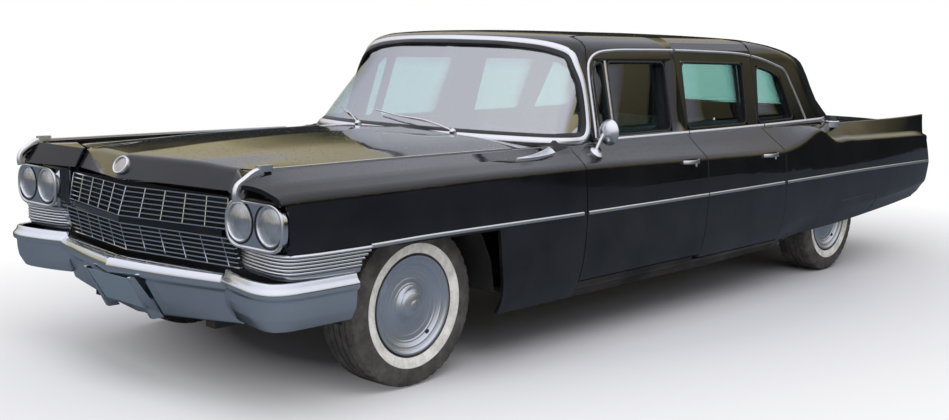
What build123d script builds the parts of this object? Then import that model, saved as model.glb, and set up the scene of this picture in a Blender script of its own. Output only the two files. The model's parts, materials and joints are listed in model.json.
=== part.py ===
"""Long-wheelbase six-window limousine of the early 1960s, as used for funerals, in millimetres.

Frame: +Z up, the nose points along -Y, +X is the car's left side, and the origin is on the ground in the
middle of the car's length and width. The body sits on an X-shaped frame. Four front-hinged doors cut into
the roof, the bonnet is hinged at the cowl and the boot lid under the rear window. The rear wheels run
behind skirts, the front wheels steer on knuckles.

Tables give places along the car behind the front axle. Body sides are shells lofted through sections
across the car: an open chain of points from the sill up to the ridge, and the same chain a wall further in.
"""
from build123d import *
import math
import os

# ---------------------------------------------------------------- driving dimensions
OVERALL_LENGTH = 6193.0
OVERALL_WIDTH = 2029.0
OVERALL_HEIGHT = 1499.0
WHEELBASE = 3805.0
FRONT_OVERHANG = 906.5
TRACK = 1549.0
TYRE_RADIUS = 348.0
TYRE_WIDTH = 208.0
RIM_RADIUS = 197.0
COVER_RADIUS = 210.0
HUB_BORE = 24.0
BEARING_CLEARANCE = 0.05
KINGPIN_X = 662.0

TRIM_STAND = 8.0        # how far the side spear stands off the doors
SHUT_GAP = 6.0          # gap between a moving panel and its neighbour
ROOF_GAP = 10.0         # gap beside the door tops that are cut into the roof
PANEL = 16.0            # wall of wings, quarter panels, bonnet and boot lid
DOOR_WALL = 70.0        # whole thickness of a door below the belt
PILLAR_WALL = 34.0      # thickness of roof, pillars and window frames
GLASS = 6.0
GLASS_DEPTH = 12.0      # how far the glass lies below the pillars' faces
SHUT_SLANT = math.tan(math.radians(25))   # shut faces run forward as they go inboard

BELT_Z = 968.0
SPEAR_Z = 655.0
SILL_Z = 240.0
FLOOR_Z = 284.0          # underside of the floor
FLOOR_WALL = 16.0
TUNNEL_Z = 400.0
SEAT_Z = 402.0           # underside of the seat cushions
ROOF_CUT_X = 655.0      # door tops end here

EASE_SHARE = 0.46       # share of a side that the easing of one corner may take
PLACE_STEP = 190.0      # widest space between the sections of a body side

DOOR_START = 1008.0     # front shut line
DOOR_MIDDLE = 2078.0    # shut line between the doors
DOOR_END = 2956.0       # rear shut line

# ---------------------------------------------------------------- places worked out from them
HALF_LENGTH = OVERALL_LENGTH / 2
BODY_HALF = OVERALL_WIDTH / 2 - TRIM_STAND
F = -HALF_LENGTH + FRONT_OVERHANG          # front axle
R = F + WHEELBASE                          # rear axle
REAR_TIP = OVERALL_LENGTH - FRONT_OVERHANG
AXLE_Z = TYRE_RADIUS
HALF_TRACK = TRACK / 2


# ---------------------------------------------------------------- small helpers
def face(points, place):
    """Closed flat outline from 2D points, put into space by place(a, b)."""
    return Face(Wire.make_polygon([Vector(*place(a, b)) for a, b in points], close=True))


def prism_x(points, x0, x1):
    """(y, z) outline, y behind the front axle, pushed from x0 to x1."""
    return Solid.extrude(face(points, lambda y, z: (x0, F + y, z)), Vector(x1 - x0, 0, 0))


def prism_y(points, y0, y1):
    """(x, z) outline pushed from y0 to y1 behind the front axle."""
    return Solid.extrude(face(points, lambda x, z: (x, F + y0, z)), Vector(0, y1 - y0, 0))


def prism_z(points, z0, z1):
    """(x, y) outline, y behind the front axle, pushed from z0 to z1."""
    return Solid.extrude(face(points, lambda x, y: (x, F + y, z0)), Vector(0, 0, z1 - z0))


def block(x0, x1, y0, y1, z0, z1):
    return prism_z([(x0, y0), (x1, y0), (x1, y1), (x0, y1)], z0, z1)


def rod_x(y, z, radius, x0, x1):
    """Round bar across the car."""
    return Solid.make_cylinder(radius, x1 - x0, Plane((x0, F + y, z), z_dir=(1, 0, 0)))


def rod(start, end, radius):
    """Round bar between two points (x, y behind the front axle, z)."""
    a = Vector(start[0], F + start[1], start[2])
    b = Vector(end[0], F + end[1], end[2])
    return Solid.make_cylinder(radius, (b - a).length, Plane(a, z_dir=(b - a)))


def ruled(rings):
    """Solid through closed rings of (x, y behind the front axle, z) that all have as many corners."""
    wires = [Wire.make_polygon([Vector(x, F + y, z) for x, y, z in ring], close=True) for ring in rings]
    return Solid.make_loft(wires, ruled=True)


def rounded(ring, cuts):
    """Closed wire through the corners of a ring, each corner eased over the distance given for it."""
    corners = [Vector(x, F + y, z) for x, y, z in ring]
    count = len(corners)
    starts, ends = [], []
    for i, corner in enumerate(corners):
        before = corners[i - 1] - corner
        after = corners[(i + 1) % count] - corner
        starts.append(corner + before.normalized() * min(cuts[i], EASE_SHARE * before.length))
        ends.append(corner + after.normalized() * min(cuts[i], EASE_SHARE * after.length))
    edges = []
    for i, corner in enumerate(corners):
        if cuts[i]:
            edges.append(Edge.make_bezier(starts[i], corner, ends[i]))
        edges.append(Edge.make_line(ends[i], starts[(i + 1) % count]))
    return Wire(edges)


def smooth(rings, cuts):
    """Solid through closed rings with eased corners, curved smoothly from ring to ring."""
    return Solid.make_loft([rounded(ring, cuts) for ring in rings])


def other_side(shape):
    return mirror(shape, about=Plane.YZ)


def both(shapes):
    """Shapes of the left side and their mirror images."""
    return list(shapes) + [other_side(s) for s in shapes]


def joined(shapes):
    """One solid from shapes that overlap or share faces."""
    first, rest = shapes[0], shapes[1:]
    return first.fuse(*rest) if rest else first


def unit(ax, ay):
    size = math.hypot(ax, ay)
    return ax / size, ay / size


def offset_chain(chain, distance):
    """Open chain moved to its right-hand side by a distance, corners mitred."""
    moved = []
    for i, (px, py) in enumerate(chain):
        sides = []
        if i > 0:
            sides.append(unit(px - chain[i - 1][0], py - chain[i - 1][1]))
        if i < len(chain) - 1:
            sides.append(unit(chain[i + 1][0] - px, chain[i + 1][1] - py))
        nx, ny = unit(sum(s[1] for s in sides), sum(-s[0] for s in sides))
        stretch = max(0.5, nx * sides[0][1] - ny * sides[0][0])
        moved.append((px + nx * distance / stretch, py + ny * distance / stretch))
    return moved


def grow(loop, distance):
    """Closed counter-clockwise outline grown outwards by a distance."""
    wrapped = [loop[-1]] + loop + [loop[0]]
    return offset_chain(wrapped, distance)[1:-1]


def slope(table, row, column):
    """Slope of a table's column at one row: none where the column turns."""
    near = table[max(row - 1, 0):row + 2]
    rises = [(high[column] - low[column]) / (high[0] - low[0]) for low, high in zip(near, near[1:])]
    if len(rises) == 1:
        return rises[0]
    first, second = rises
    return 2 * first * second / (first + second) if first * second > 0 else 0.0


def between(table, place):
    """Row of a table at a place, on smooth curves through its rows that never overshoot them."""
    place = min(max(place, table[0][0]), table[-1][0])
    k = next(i for i in range(len(table) - 1) if place <= table[i + 1][0])
    low, high = table[k], table[k + 1]
    span = high[0] - low[0]
    t = (place - low[0]) / span
    row = [place]
    for c in range(1, len(low)):
        ends = low[c] * (2 * t ** 3 - 3 * t ** 2 + 1) + high[c] * (3 * t ** 2 - 2 * t ** 3)
        bends = slope(table, k, c) * (t ** 3 - 2 * t ** 2 + t) + slope(table, k + 1, c) * (t ** 3 - t ** 2)
        row.append(ends + span * bends)
    return row


def profile_rings(path, profile):
    """Rings of a closed profile of (outwards, z) along a plan path of (x, y).

    Outwards is the right-hand side of the path.
    """
    rings = [[] for _ in path]
    for out, z in profile:
        for ring, (x, y) in zip(rings, offset_chain(path, out)):
            ring.append((x, y, z))
    return rings


def moulding(path, profile):
    """Closed profile swept along a plan path, corners mitred."""
    return ruled(profile_rings(path, profile))


def slab(outline, out0, out1, z0, z1):
    """Band along a plan path, out0 to out1 beside it and z0 to z1 high."""
    return moulding(outline, [(out0, z0), (out1, z0), (out1, z1), (out0, z1)])


# ---------------------------------------------------------------- lower body side
# Insets are measured inwards from the body's greatest half width.
# y, bottom in, bottom z, turn in, hip in, spear in, shoulder in, shoulder z, ledge in, ledge z, ridge in, ridge z
BODY_SIDE = [
    (-838, 130, SILL_Z, 100, 70, 60, 62, 858, 120, 892, 206, 905),
    (-770, 120, SILL_Z, 84, 54, 42, 46, 864, 112, 903, 206, 946),
    (-660, 114, SILL_Z, 76, 46, 32, 40, 869, 106, 912, 206, 956),
    (-300, 104, SILL_Z, 60, 30, 16, 28, 872, 100, 915, 206, 958),
    (400, 98, SILL_Z, 50, 18, 3, 21, 878, 98, 920, 206, 957),
    (700, 96, SILL_Z, 48, 16, 1, 20, 876, 92, 918, 200, 957),
    (DOOR_START, 96, SILL_Z, 46, 15, 0, 20, 872, 80, 918, 136, 964),
    (DOOR_MIDDLE, 96, SILL_Z, 46, 15, 0, 21, 848, 80, 906, 134, BELT_Z),
    (DOOR_END, 96, SILL_Z + 12, 48, 18, 4, 28, 832, 80, 900, 132, BELT_Z + 2),
    (3225, 92, SILL_Z + 62, 50, 20, 8, 40, 880, 80, 920, 134, BELT_Z),
    (3450, 84, SILL_Z + 68, 46, 22, 10, 56, 935, 82, 944, 136, BELT_Z - 4),
    (3640, 82, SILL_Z + 72, 44, 26, 14, 50, 866, 84, 876, 140, BELT_Z - 5),
    (4600, 98, SILL_Z + 112, 60, 42, 32, 58, 842, 98, 852, 146, BELT_Z - 8),
    (5000, 108, SILL_Z + 138, 72, 56, 46, 68, 834, 106, 844, 152, BELT_Z - 5),
    (REAR_TIP, 128, SILL_Z + 160, 92, 74, 62, 84, 812, 122, 824, 160, BELT_Z),
]
TURN_RISE = 75.0
HIP_Z = 440.0
SIDE_EASES = (0, 45, 70, 90, 26, 14, 9)     # easing of the side's corners, from the bottom up


def side_chain(y):
    """Outer chain of the body side at place y, from the bottom up to the ridge."""
    _, b_in, b_z, t_in, h_in, s_in, c_in, c_z, l_in, l_z, r_in, r_z = between(BODY_SIDE, y)
    insets = [(b_in, b_z), (t_in, b_z + TURN_RISE), (h_in, max(HIP_Z, b_z + TURN_RISE + 20)), (s_in, SPEAR_Z),
              (c_in, c_z), (l_in, l_z), (r_in, r_z)]
    return [(BODY_HALF - inset, z) for inset, z in insets]


def side_places(y0, y1):
    """Places of the sections of a side: its ends, the table's rows and even steps between them."""
    marks = [y0] + [row[0] for row in BODY_SIDE if y0 + 1 < row[0] < y1 - 1] + [y1]
    places = [y0]
    for low, high in zip(marks, marks[1:]):
        steps = math.ceil((high - low) / PLACE_STEP)
        places.extend(low + (high - low) * (i + 1) / steps for i in range(steps))
    return places


def side_shell(y0, y1, wall, lip=0.0, drop=0.5):
    """Wall of the left body side from y0 to y1. A lip runs on inboard and down from the ridge."""
    rings = []
    for y in side_places(y0, y1):
        chain = side_chain(y)
        if lip:
            chain = chain + [(chain[-1][0] - lip, chain[-1][1] - lip * drop)]
        inner = offset_chain(chain, -wall)
        rings.append([(x, y, z) for x, z in chain + inner[::-1]])
    eases = list(SIDE_EASES) + ([0] if lip else [])
    if not lip:
        eases[-1] = 0
    return smooth(rings, eases + eases[::-1])


def side_core(y0, y1, depth, inboard):
    """Everything inboard of the left body side, a depth below its skin, as far in as inboard."""
    rings = []
    for y in side_places(y0, y1):
        inner = offset_chain(side_chain(y), -depth)
        ring = inner + [(inboard, inner[-1][1]), (inboard, inner[0][1])]
        rings.append([(x, y, z) for x, z in ring])
    return smooth(rings, SIDE_EASES[:-1] + (0, 0, 0))


# ---------------------------------------------------------------- greenhouse: plan loops from the top down
# half width, z, sink of the inner side, windscreen middle, windscreen corner, rear window middle, rear corner
ROOF_LEVELS = [
    (200, OVERALL_HEIGHT, 1.0, 1480, 1620, 2500, 2350),
    (440, 1491, 1.0, 1260, 1480, 2800, 2500),
    (655, 1474, 1.0, 1155, 1370, 3150, 2850),
    (714, 1448, 0.8, 1120, 1300, 3420, 3080),
    (746, 1410, 0.5, 1090, 1262, 3640, 3300),
    (766, 1340, 0.25, 1040, 1238, 3850, 3500),
    (833, 1100, 0.1, 870, 1066, 4005, 3605),
    (872, 960, 0.0, 770, 965, 4180, 3745),
    (883, 920, 0.0, 742, 936, 4195, 3760),
]
ROOF_HALVES = (200, 440, 560, 655, 690, 714, 746, 766, 833, 872, 883)


def roof_loop(half, front, corner, rear, rear_corner):
    """Plan outline, from the windscreen's middle round the left side and back round the right."""
    left = [
        (0.0, front),
        (half * 0.46, front + (corner - front) * 0.14),
        (half * 0.80, front + (corner - front) * 0.46),
        (half * 0.97, corner - 40),
        (half, corner + 40),
        (half, rear_corner - 130),
        (half * 0.955, rear_corner + 30),
        (half * 0.80, rear - (rear - rear_corner) * 0.30),
        (half * 0.45, rear - (rear - rear_corner) * 0.08),
        (0.0, rear),
    ]
    return left + [(-x, y) for x, y in left[-2:0:-1]]


def roof_solid(inset):
    """Closed solid of the greenhouse with its walls and top moved inwards by inset."""
    rings = []
    for level in ROOF_HALVES:
        half, z, sink, *plan = between(ROOF_LEVELS, level)
        loop = roof_loop(half, *plan)
        if inset:
            loop = grow(loop, -inset)
        rings.append([(x, y, z - inset * sink) for x, y in loop])
    return ruled(rings)


def roof_wall(out_inset, in_inset):
    """Wall of the greenhouse between two insets, open at its foot."""
    return roof_solid(out_inset) - roof_solid(in_inset)


# ---------------------------------------------------------------- doors: where they are cut
# z, skin's x, front edge, rear edge
FRONT_DOOR_LOW = [
    (326, 962, DOOR_START, DOOR_MIDDLE),
    (440, 991, DOOR_START, DOOR_MIDDLE),
    (SPEAR_Z, BODY_HALF, DOOR_START, DOOR_MIDDLE),
    (860, 985, DOOR_START, DOOR_MIDDLE),
    (980, 865, DOOR_START, DOOR_MIDDLE - 32),
]
FRONT_DOOR_HIGH = [
    (916, 883, 1236, DOOR_MIDDLE - 34),
    (976, 868, 1240, DOOR_MIDDLE - 33),
    (1285, 781, 1268, DOOR_MIDDLE - 21),
    (1367, 757, 1280, DOOR_MIDDLE - 17),
    (1420, 745, 1292, DOOR_MIDDLE - 16),
    (1600, 745, 1292, DOOR_MIDDLE - 16),
]
REAR_DOOR_LOW = [
    (306, 962, DOOR_MIDDLE, DOOR_END),
    (440, 988, DOOR_MIDDLE, DOOR_END),
    (SPEAR_Z, BODY_HALF, DOOR_MIDDLE, DOOR_END),
    (838, 980, DOOR_MIDDLE, DOOR_END),
    (980, 865, DOOR_MIDDLE - 32, DOOR_END - 130),
]
REAR_DOOR_HIGH = [
    (916, 883, DOOR_MIDDLE - 34, DOOR_END - 158),
    (976, 868, DOOR_MIDDLE - 33, DOOR_END - 150),
    (1285, 781, DOOR_MIDDLE - 21, DOOR_END - 98),
    (1367, 757, DOOR_MIDDLE - 17, DOOR_END - 83),
    (1420, 745, DOOR_MIDDLE - 16, DOOR_END - 78),
    (1600, 745, DOOR_MIDDLE - 16, DOOR_END - 78),
]
DOOR_OUT_X = 1100.0
DOOR_IN_X = 760.0


def door_zone(levels, x_in, slant_front, start, end, down):
    """Room of a door. Its ends move by start and end, its foot by down, its inner side is x_in."""
    rings = []
    for i, (z, skin, front, rear) in enumerate(levels):
        f_slant = SHUT_SLANT if slant_front else 0.0
        corners = [(DOOR_OUT_X, front + start, f_slant), (DOOR_OUT_X, rear + end, SHUT_SLANT),
                   (x_in, rear + end, SHUT_SLANT), (x_in, front + start, f_slant)]
        height = z + down if i == 0 else z
        rings.append([(x, y + slant * (x - skin), height) for x, y, slant in corners])
    return ruled(rings)


def front_door_room(low):
    levels, x_in = (FRONT_DOOR_LOW, DOOR_IN_X) if low else (FRONT_DOOR_HIGH, ROOF_CUT_X)
    return door_zone(levels, x_in, False, 0, -SHUT_GAP / 2, 0)


def rear_door_room(low):
    levels, x_in = (REAR_DOOR_LOW, DOOR_IN_X) if low else (REAR_DOOR_HIGH, ROOF_CUT_X)
    return door_zone(levels, x_in, True, SHUT_GAP / 2, 0, 0)


def doorway(low):
    """Room of both doors with their gaps, to be cut from the fixed panels."""
    x_in = DOOR_IN_X - 100 if low else ROOF_CUT_X - ROOF_GAP
    front = FRONT_DOOR_LOW if low else FRONT_DOOR_HIGH
    rear = REAR_DOOR_LOW if low else REAR_DOOR_HIGH
    first = door_zone(front, x_in, False, -SHUT_GAP, 60, -SHUT_GAP)
    second = door_zone(rear, x_in, True, -60, SHUT_GAP, -SHUT_GAP)
    return [first, second]


# window openings as (y, z) outlines
VENT_WINDOW = [(1280, 988), (1374, 988), (1410, 1352), (1345, 1345), (1306, 1290)]
FRONT_WINDOW = [(1402, 988), (1915, 990), (1962, 1350), (1436, 1354)]
REAR_WINDOW = [(2061, 990), (2702, 994), (2775, 1341), (2117, 1351)]
QUARTER_WINDOW = [(2820, 994), (3275, 1002), (3195, 1256), (3089, 1298), (2921, 1328)]
WINDSCREEN_SIDE = [(500, 900), (1168, 900), (1180, 980), (1206, 1166), (1206, 1300), (1194, 1352), (1290, 1390),
                   (1290, 1500), (500, 1500)]
# the windscreen and the rear window are outlines as (x, z)
WINDSCREEN = [(-1000, 986), (1000, 986), (1000, 1340), (760, 1352), (728, 1382), (680, 1403), (610, 1420), (500, 1435),
              (300, 1446), (0, 1450), (-300, 1446), (-500, 1435), (-610, 1420), (-680, 1403), (-728, 1382),
              (-760, 1352), (-1000, 1340)]
BACKLIGHT = [(-520, 1050), (520, 1050), (490, 1290), (430, 1340), (0, 1352), (-430, 1340), (-490, 1290)]


def roof_shell():
    return roof_wall(0, PILLAR_WALL)


def glass_shell():
    return roof_wall(GLASS_DEPTH, GLASS_DEPTH + GLASS)


def windscreen_room():
    """Room of the windscreen, which runs round both corners."""
    return prism_y(WINDSCREEN, 500, 1330) & prism_x(WINDSCREEN_SIDE, -1000, 1000)


def door(shell_low, shell_high, low_room, high_room, openings):
    """Left door: its panel up to the belt and the window frame above it."""
    lower = shell_low & low_room
    upper = shell_high & high_room
    for outline in openings:
        upper = upper - prism_x(outline, 500, 1000)
    return upper.fuse(lower)


def front_door():
    shell = side_shell(DOOR_START, DOOR_MIDDLE + 60, DOOR_WALL)
    return door(shell, roof_shell(), front_door_room(True), front_door_room(False), [VENT_WINDOW, FRONT_WINDOW])


def rear_door():
    shell = side_shell(DOOR_MIDDLE - 80, DOOR_END + 60, DOOR_WALL)
    return door(shell, roof_shell(), rear_door_room(True), rear_door_room(False), [REAR_WINDOW])


def pane(outline):
    return glass_shell() & prism_x(outline, 500, 1000)


# ---------------------------------------------------------------- fixed body panels
# the wing is open below this outline: nose, wheel arch
WING_CUT = [(-900, 0), (-900, 842), (-738, 842), (-732, 662), (-352, 662), (-352, 646), (389, 640), (413, 504),
            (451, 366), (482, 225), (482, 0)]
BROW_CUT = [(700, -900), (1100, -900), (1100, -705), (798, -838), (700, -838)]
WING_TOP_LIP = 18.0
TAIL_CUT = [(5400, 1100), (REAR_TIP, 968), (5183, 786), (5196, 712), (5222, 623), (5199, 492), (5139, 416),
            (5060, 391), (5000, 0), (5400, 0)]
FIN_LIP = 40.0


def wing():
    """Left front wing, with the cheek over the headlamps and the recess beside them."""
    shell = side_shell(-838, DOOR_START, PANEL, WING_TOP_LIP, 0.1)
    shell = shell - prism_x(WING_CUT, 700, 1100) - prism_z(BROW_CUT, 0, 1100)
    for room in doorway(True):
        shell = shell - room
    cheek = ruled([
        [(566, -708, 853), (566, -664, 934), (566, -654, 934), (566, -698, 853)],
        [(790, -832, 863), (790, -760, 950), (790, -580, 948), (790, -580, 853)],
        [(830, -834, 863), (830, -765, 925), (830, -580, 925), (830, -580, 853)],
    ])
    recess = block(590, 948, -718, -708, TRIM_TOP + 2, 862) - lamp_housing(LAMP_GAP)
    return shell.fuse(cheek, recess)


def nose_bar():
    """Body-coloured bar between the two grilles."""
    return halves(slab([(0, -838), (562, -737)], -32, 0, 683, 707))


def quarter():
    """Left quarter panel with the fin."""
    shell = side_shell(DOOR_END - 200, REAR_TIP, PANEL, FIN_LIP)
    shell = shell - prism_x(TAIL_CUT, 700, 1100)
    for room in doorway(True):
        shell = shell - room
    return shell - block(700, 1100, 2700, DOOR_END, 0, 1100)


def roof(wing_left, quarter_left):
    shell = roof_shell()
    shell = shell - windscreen_room() - prism_y(BACKLIGHT, 3400, 4400)
    left = doorway(False) + doorway(True)[1:] + [prism_x(QUARTER_WINDOW, 500, 1000), block(640, 1000, 1230, 2600, 900, 975),
                                   block(812, 1000, 1000, 1246, 900, BELT_Z + SHUT_GAP)]
    for room in both(left):
        shell = shell - room
    for side in both([wing_left, quarter_left]):
        shell = shell - side
    return shell


def fixed_glass():
    shell = glass_shell()
    front = shell & windscreen_room()
    back = shell & prism_y(BACKLIGHT, 3400, 4400)
    quarter_pane = pane(QUARTER_WINDOW)
    return [front, back] + both([quarter_pane])


# x, lip y, lip z, brow y, brow z, then z at the places in BONNET_PLACES, rear y, rear z
BONNET_PLACES = (-560, -300, 113)
BONNET = [
    (0, -846, 865, -795, 960, 974, 990, 1003, 720, 1008),
    (330, -757, 860, -704, 953, 963, 978, 992, 736, 998),
    (560, -694, 854, -645, 937, 944, 962, 976, 750, 984),
]
# x, brow y, brow z, then z at the places in BONNET_PLACES, rear y, rear z
BONNET_SHOULDER = [
    (560, -645, 937, 944, 962, 976, 750, 984),
    (775, -570, 940, 941, 944, 950, 770, 955),
]
BONNET_WALL = 20.0


def sheet_ring(x, outer, wall):
    """Ring in a plane across x: an outer (y, z) chain running rearwards, and its inner side."""
    inner = offset_chain(outer, wall)
    return [(x, y, z) for y, z in outer + inner[::-1]]


def bonnet_half():
    rings = []
    for x, lip_y, lip_z, brow_y, brow_z, z1, z2, z3, rear_y, rear_z in BONNET:
        outer = [(lip_y, lip_z), (brow_y, brow_z)] + list(zip(BONNET_PLACES, (z1, z2, z3))) + [(rear_y, rear_z)]
        rings.append(sheet_ring(x, outer, BONNET_WALL))
    shoulder = []
    for x, brow_y, brow_z, z1, z2, z3, rear_y, rear_z in BONNET_SHOULDER:
        outer = [(brow_y, brow_z)] + list(zip(BONNET_PLACES, (z1, z2, z3))) + [(rear_y, rear_z)]
        shoulder.append(sheet_ring(x, outer, BONNET_WALL))
    return ruled(rings).fuse(ruled(shoulder))


# x, front z, z at 4700, z at 5080, shoulder y, shoulder z, foot y, foot z
BOOT_FRONT = 4330.0
PLATE_HOLE_X = 89.0      # holes for the rear number plate
PLATE_HOLE_Z = 725.0
PLATE_HOLE_RADIUS = 3.2
BOOT = [
    (0, 962, 950, 926, 5160, 908, 5188, 800),
    (500, 960, 948, 922, 5160, 904, 5188, 800),
    (812, 942, 934, 908, 5150, 892, 5178, 800),
]


def boot_half():
    rings = []
    for x, z0, z1, z2, y3, z3, y4, z4 in BOOT:
        outer = [(BOOT_FRONT, z0), (4700, z1), (5080, z2), (y3, z3), (y4, z4)]
        rings.append(sheet_ring(x, outer, PANEL))
    return ruled(rings)


def halves(half):
    return half.fuse(other_side(half))


def cowl():
    """Scuttle top, bulkhead and the pillars that carry the front doors."""
    rows = [(726, 776, 1008, 955), (800, 778, 1006, 955), (1000, 846, 1004, 960)]
    rings = []
    for y, half, z_mid, z_edge in rows:
        top = [(half, y + 0, z_edge), (half * 0.55, y, z_edge + (z_mid - z_edge) * 0.62), (0, y, z_mid),
               (-half * 0.55, y, z_edge + (z_mid - z_edge) * 0.62), (-half, y, z_edge)]
        rings.append(top + [(x, yy, z - PANEL) for x, yy, z in top[::-1]])
    scuttle = ruled(rings) - roof_solid(0)
    scuttle = scuttle - prism_z([(-900, 700), (900, 700), (782, 776), (0, 726), (-782, 776)], 900, 1100)
    bulkhead = block(-760, 760, 812, 828, FLOOR_Z + FLOOR_WALL, 920)
    return [scuttle, bulkhead] + both([block(800, 846, 880, 1000, FLOOR_Z + FLOOR_WALL, 900)])


def floor_pan():
    sill = side_shell(DOOR_START - 60, DOOR_END + 60, PANEL)
    for room in doorway(True):
        sill = sill - room
    sill = sill & block(700, 1100, DOOR_START, DOOR_END, 0, 330)
    top = FLOOR_Z + FLOOR_WALL
    plate = block(-885, 885, 700, 3384, FLOOR_Z, top) - block(-118, 118, 600, 3500, FLOOR_Z - 5, top + 5)
    tunnel = block(-130, 130, 828, 3384, FLOOR_Z, TUNNEL_Z) - block(-118, 118, 600, 3500, 0, TUNNEL_Z - 12)
    step = block(-588, 588, 3368, 3384, top, 504) - block(-118, 118, 3300, 3500, 0, TUNNEL_Z - 12)
    boot = [block(-588, 588, 3384, 5138, 492, 504), block(-780, 780, 4262, 5138, 492, 504)]
    wedge = [prism_z([(870, 1010), (945, 1010), (945, 2950), (870, 2950)], FLOOR_Z, top)]
    risers = [block(160, 620, 1540, 1960, top, SEAT_Z), block(160, 560, 2850, 3300, top, SEAT_Z)]
    return joined([plate, tunnel, step] + boot + both([sill]) + both(wedge) + both(risers))


def rear_deck():
    """Deck between the rear window and the boot lid, and the panel below the lid."""
    top = [(812, 942), (500, 960), (0, 963), (-500, 960), (-812, 942)]
    ring = top + [(x, z - PANEL) for x, z in top[::-1]]
    deck = prism_y(ring, 3700, BOOT_FRONT - SHUT_GAP) - roof_solid(0)
    rear = block(-800, 800, 5138, 5154, 504, 790)
    for x in (-PLATE_HOLE_X, PLATE_HOLE_X):
        rear = rear - Solid.make_cylinder(PLATE_HOLE_RADIUS, 30, Plane((x, F + 5130, PLATE_HOLE_Z), z_dir=(0, 1, 0)))
    return [deck, rear]


def centre_pillars():
    outline = [(860, FLOOR_Z + FLOOR_WALL), (860, 700), (805, 880), (790, 960), (656, 1395), (634, 1426),
               (634, 1475), (590, 1475), (590, 1420), (616, 1385), (744, 950), (765, 870), (820, 690),
               (820, FLOOR_Z + FLOOR_WALL)]
    post = prism_y(outline, DOOR_MIDDLE - 75, DOOR_MIDDLE + 35) - roof_shell()
    return both([min(post.solids(), key=lambda part: part.center().Z)])


# ---------------------------------------------------------------- nose
LAMP_Z = 760.0
LAMP_RADIUS = 73.0
LAMP_GAP = 0.5
LAMPS = [(713, -762), (888, -757)]      # x, y of each lamp's face
# low z, high z, then at low and at high: y of the middle, x of the end, y of the end; rows
GRILLES = [
    (712, 828, -840, -800, 583, 571, -727, -712, 6),
    (567, 679, -805, -832, 640, 627, -712, -739, 6),
]
COLUMN_STEP = 117.0
BAR_DEPTH = 13.0
BAR_HALF = 2.6
TRIM_PATH = [(640, -699), (700, -722), (800, -742), (900, -748), (956, -726), (980, -640), (988, -500), (990, -340)]
TRIM_TOP = 660.0
RIBS = 5
ARCH_FRONT = [(-352, 700), (-352, 643), (-393, 597), (-408, 529), (-418, 414), (0, 414), (0, 700)]


def grille_place(band, along, up):
    """Point on a grille's front: along runs from the middle to the end, up from its foot to its top."""
    low, high, mid_low, mid_high, end_low, end_high, back_low, back_high, _ = band
    middle = mid_low + (mid_high - mid_low) * up
    back = back_low + (back_high - back_low) * up
    x = (end_low + (end_high - end_low) * up) * along
    return x, middle + (back - middle) * along, low + (high - low) * up


def half_grille(band):
    """Crossed bars of the left half of a V-shaped grille."""
    rows = band[-1]
    h, deep = BAR_HALF, BAR_DEPTH
    pieces = []
    for i in range(rows + 1):
        ends = [grille_place(band, along, i / rows) for along in (0, 1)]
        pieces.append(ruled([[(x, y, z - h), (x, y, z + h), (x, y + deep, z + h), (x, y + deep, z - h)]
                             for x, y, z in ends]))
    for i in range(6):
        ends = [grille_place(band, min(i * COLUMN_STEP / band[4], 1), up) for up in (0, 1)]
        pieces.append(ruled([[(x - h, y, z), (x + h, y, z), (x + h, y + deep + 4, z), (x - h, y + deep + 4, z)]
                             for x, y, z in ends]))
    return joined(pieces)


def grille():
    return [halves(half_grille(band)) for band in GRILLES]


def radiator():
    """Radiator with the dark panel round it."""
    return block(-585, 585, -694, -684, 566, 830).fuse(block(-420, 420, -686, -600, 400, 830))


def corner_trim():
    """Strip under the headlamps and the ribs that run round the corner to the wheel arch."""
    pieces = [moulding(TRIM_PATH, [(-22, 647), (5, 647), (10, 653), (5, TRIM_TOP), (-22, TRIM_TOP)]),
              slab(TRIM_PATH, -22, -7, 584, 650)]
    for i in range(RIBS):
        pieces.append(slab(TRIM_PATH, -9, 2, 585 + i * 13, 590 + i * 13))
    return joined(pieces) - prism_x(ARCH_FRONT, 880, 1100)


def eased_prism(x0, x1, z0, z1, ease, y0, y1):
    """Upright plate with rounded corners, from y0 to y1."""
    outline = rounded([(x0, y0, z0), (x1, y0, z0), (x1, y0, z1), (x0, y0, z1)], [ease] * 4)
    return Solid.extrude(Face(outline), Vector(0, y1 - y0, 0))


def lamp_housing(gap=0.0):
    return block(640 - gap, 925 + gap, -742, -700, 668 - gap, 838 + gap)


def headlamps():
    """Shell round both lamps of a side, its front edge rounded."""
    shell = eased_prism(634, 967, 667, 839, 78, -766, -741).fuse(lamp_housing())
    for x, y in LAMPS:
        shell = shell - Solid.make_cylinder(LAMP_RADIUS, 36, Plane((x, F + y - 20, LAMP_Z), z_dir=(0, 1, 0)))
    return both([shell])


def lamp_glass():
    lamps = [Solid.make_cylinder(LAMP_RADIUS - 0.3, 14, Plane((x, F + y + 1, LAMP_Z), z_dir=(0, 1, 0)))
             for x, y in LAMPS]
    return both(lamps)


# front bumper: y, z round its section in the middle and at its outer end
BUMPER_MIDDLE = [(-830, 548), (-890, 542), (-FRONT_OVERHANG, 518), (-FRONT_OVERHANG, 491), (-880, 468), (-820, 380),
                 (-760, 297), (-740, 297), (-800, 400), (-830, 500)]
BUMPER_END = [(-700, 545), (-745, 540), (-765, 520), (-765, 490), (-740, 470), (-710, 400), (-690, 340), (-675, 340),
              (-690, 400), (-700, 500)]
BUMPER_END_X = 620.0
BUMPER_WING_PATH = [(594, -746), (680, -776), (780, -800), (868, -812), (936, -798), (972, -745), (983, -650),
                    (985, -540), (984, -425)]
BUMPER_WING = [(0, 560), (8, 540), (22, 526), (22, 506), (6, 494), (4, 455), (-2, 420), (-30, 372), (-48, 372),
               (-20, 430), (-14, 560)]
PLATE_HALF = 152.0


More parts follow.
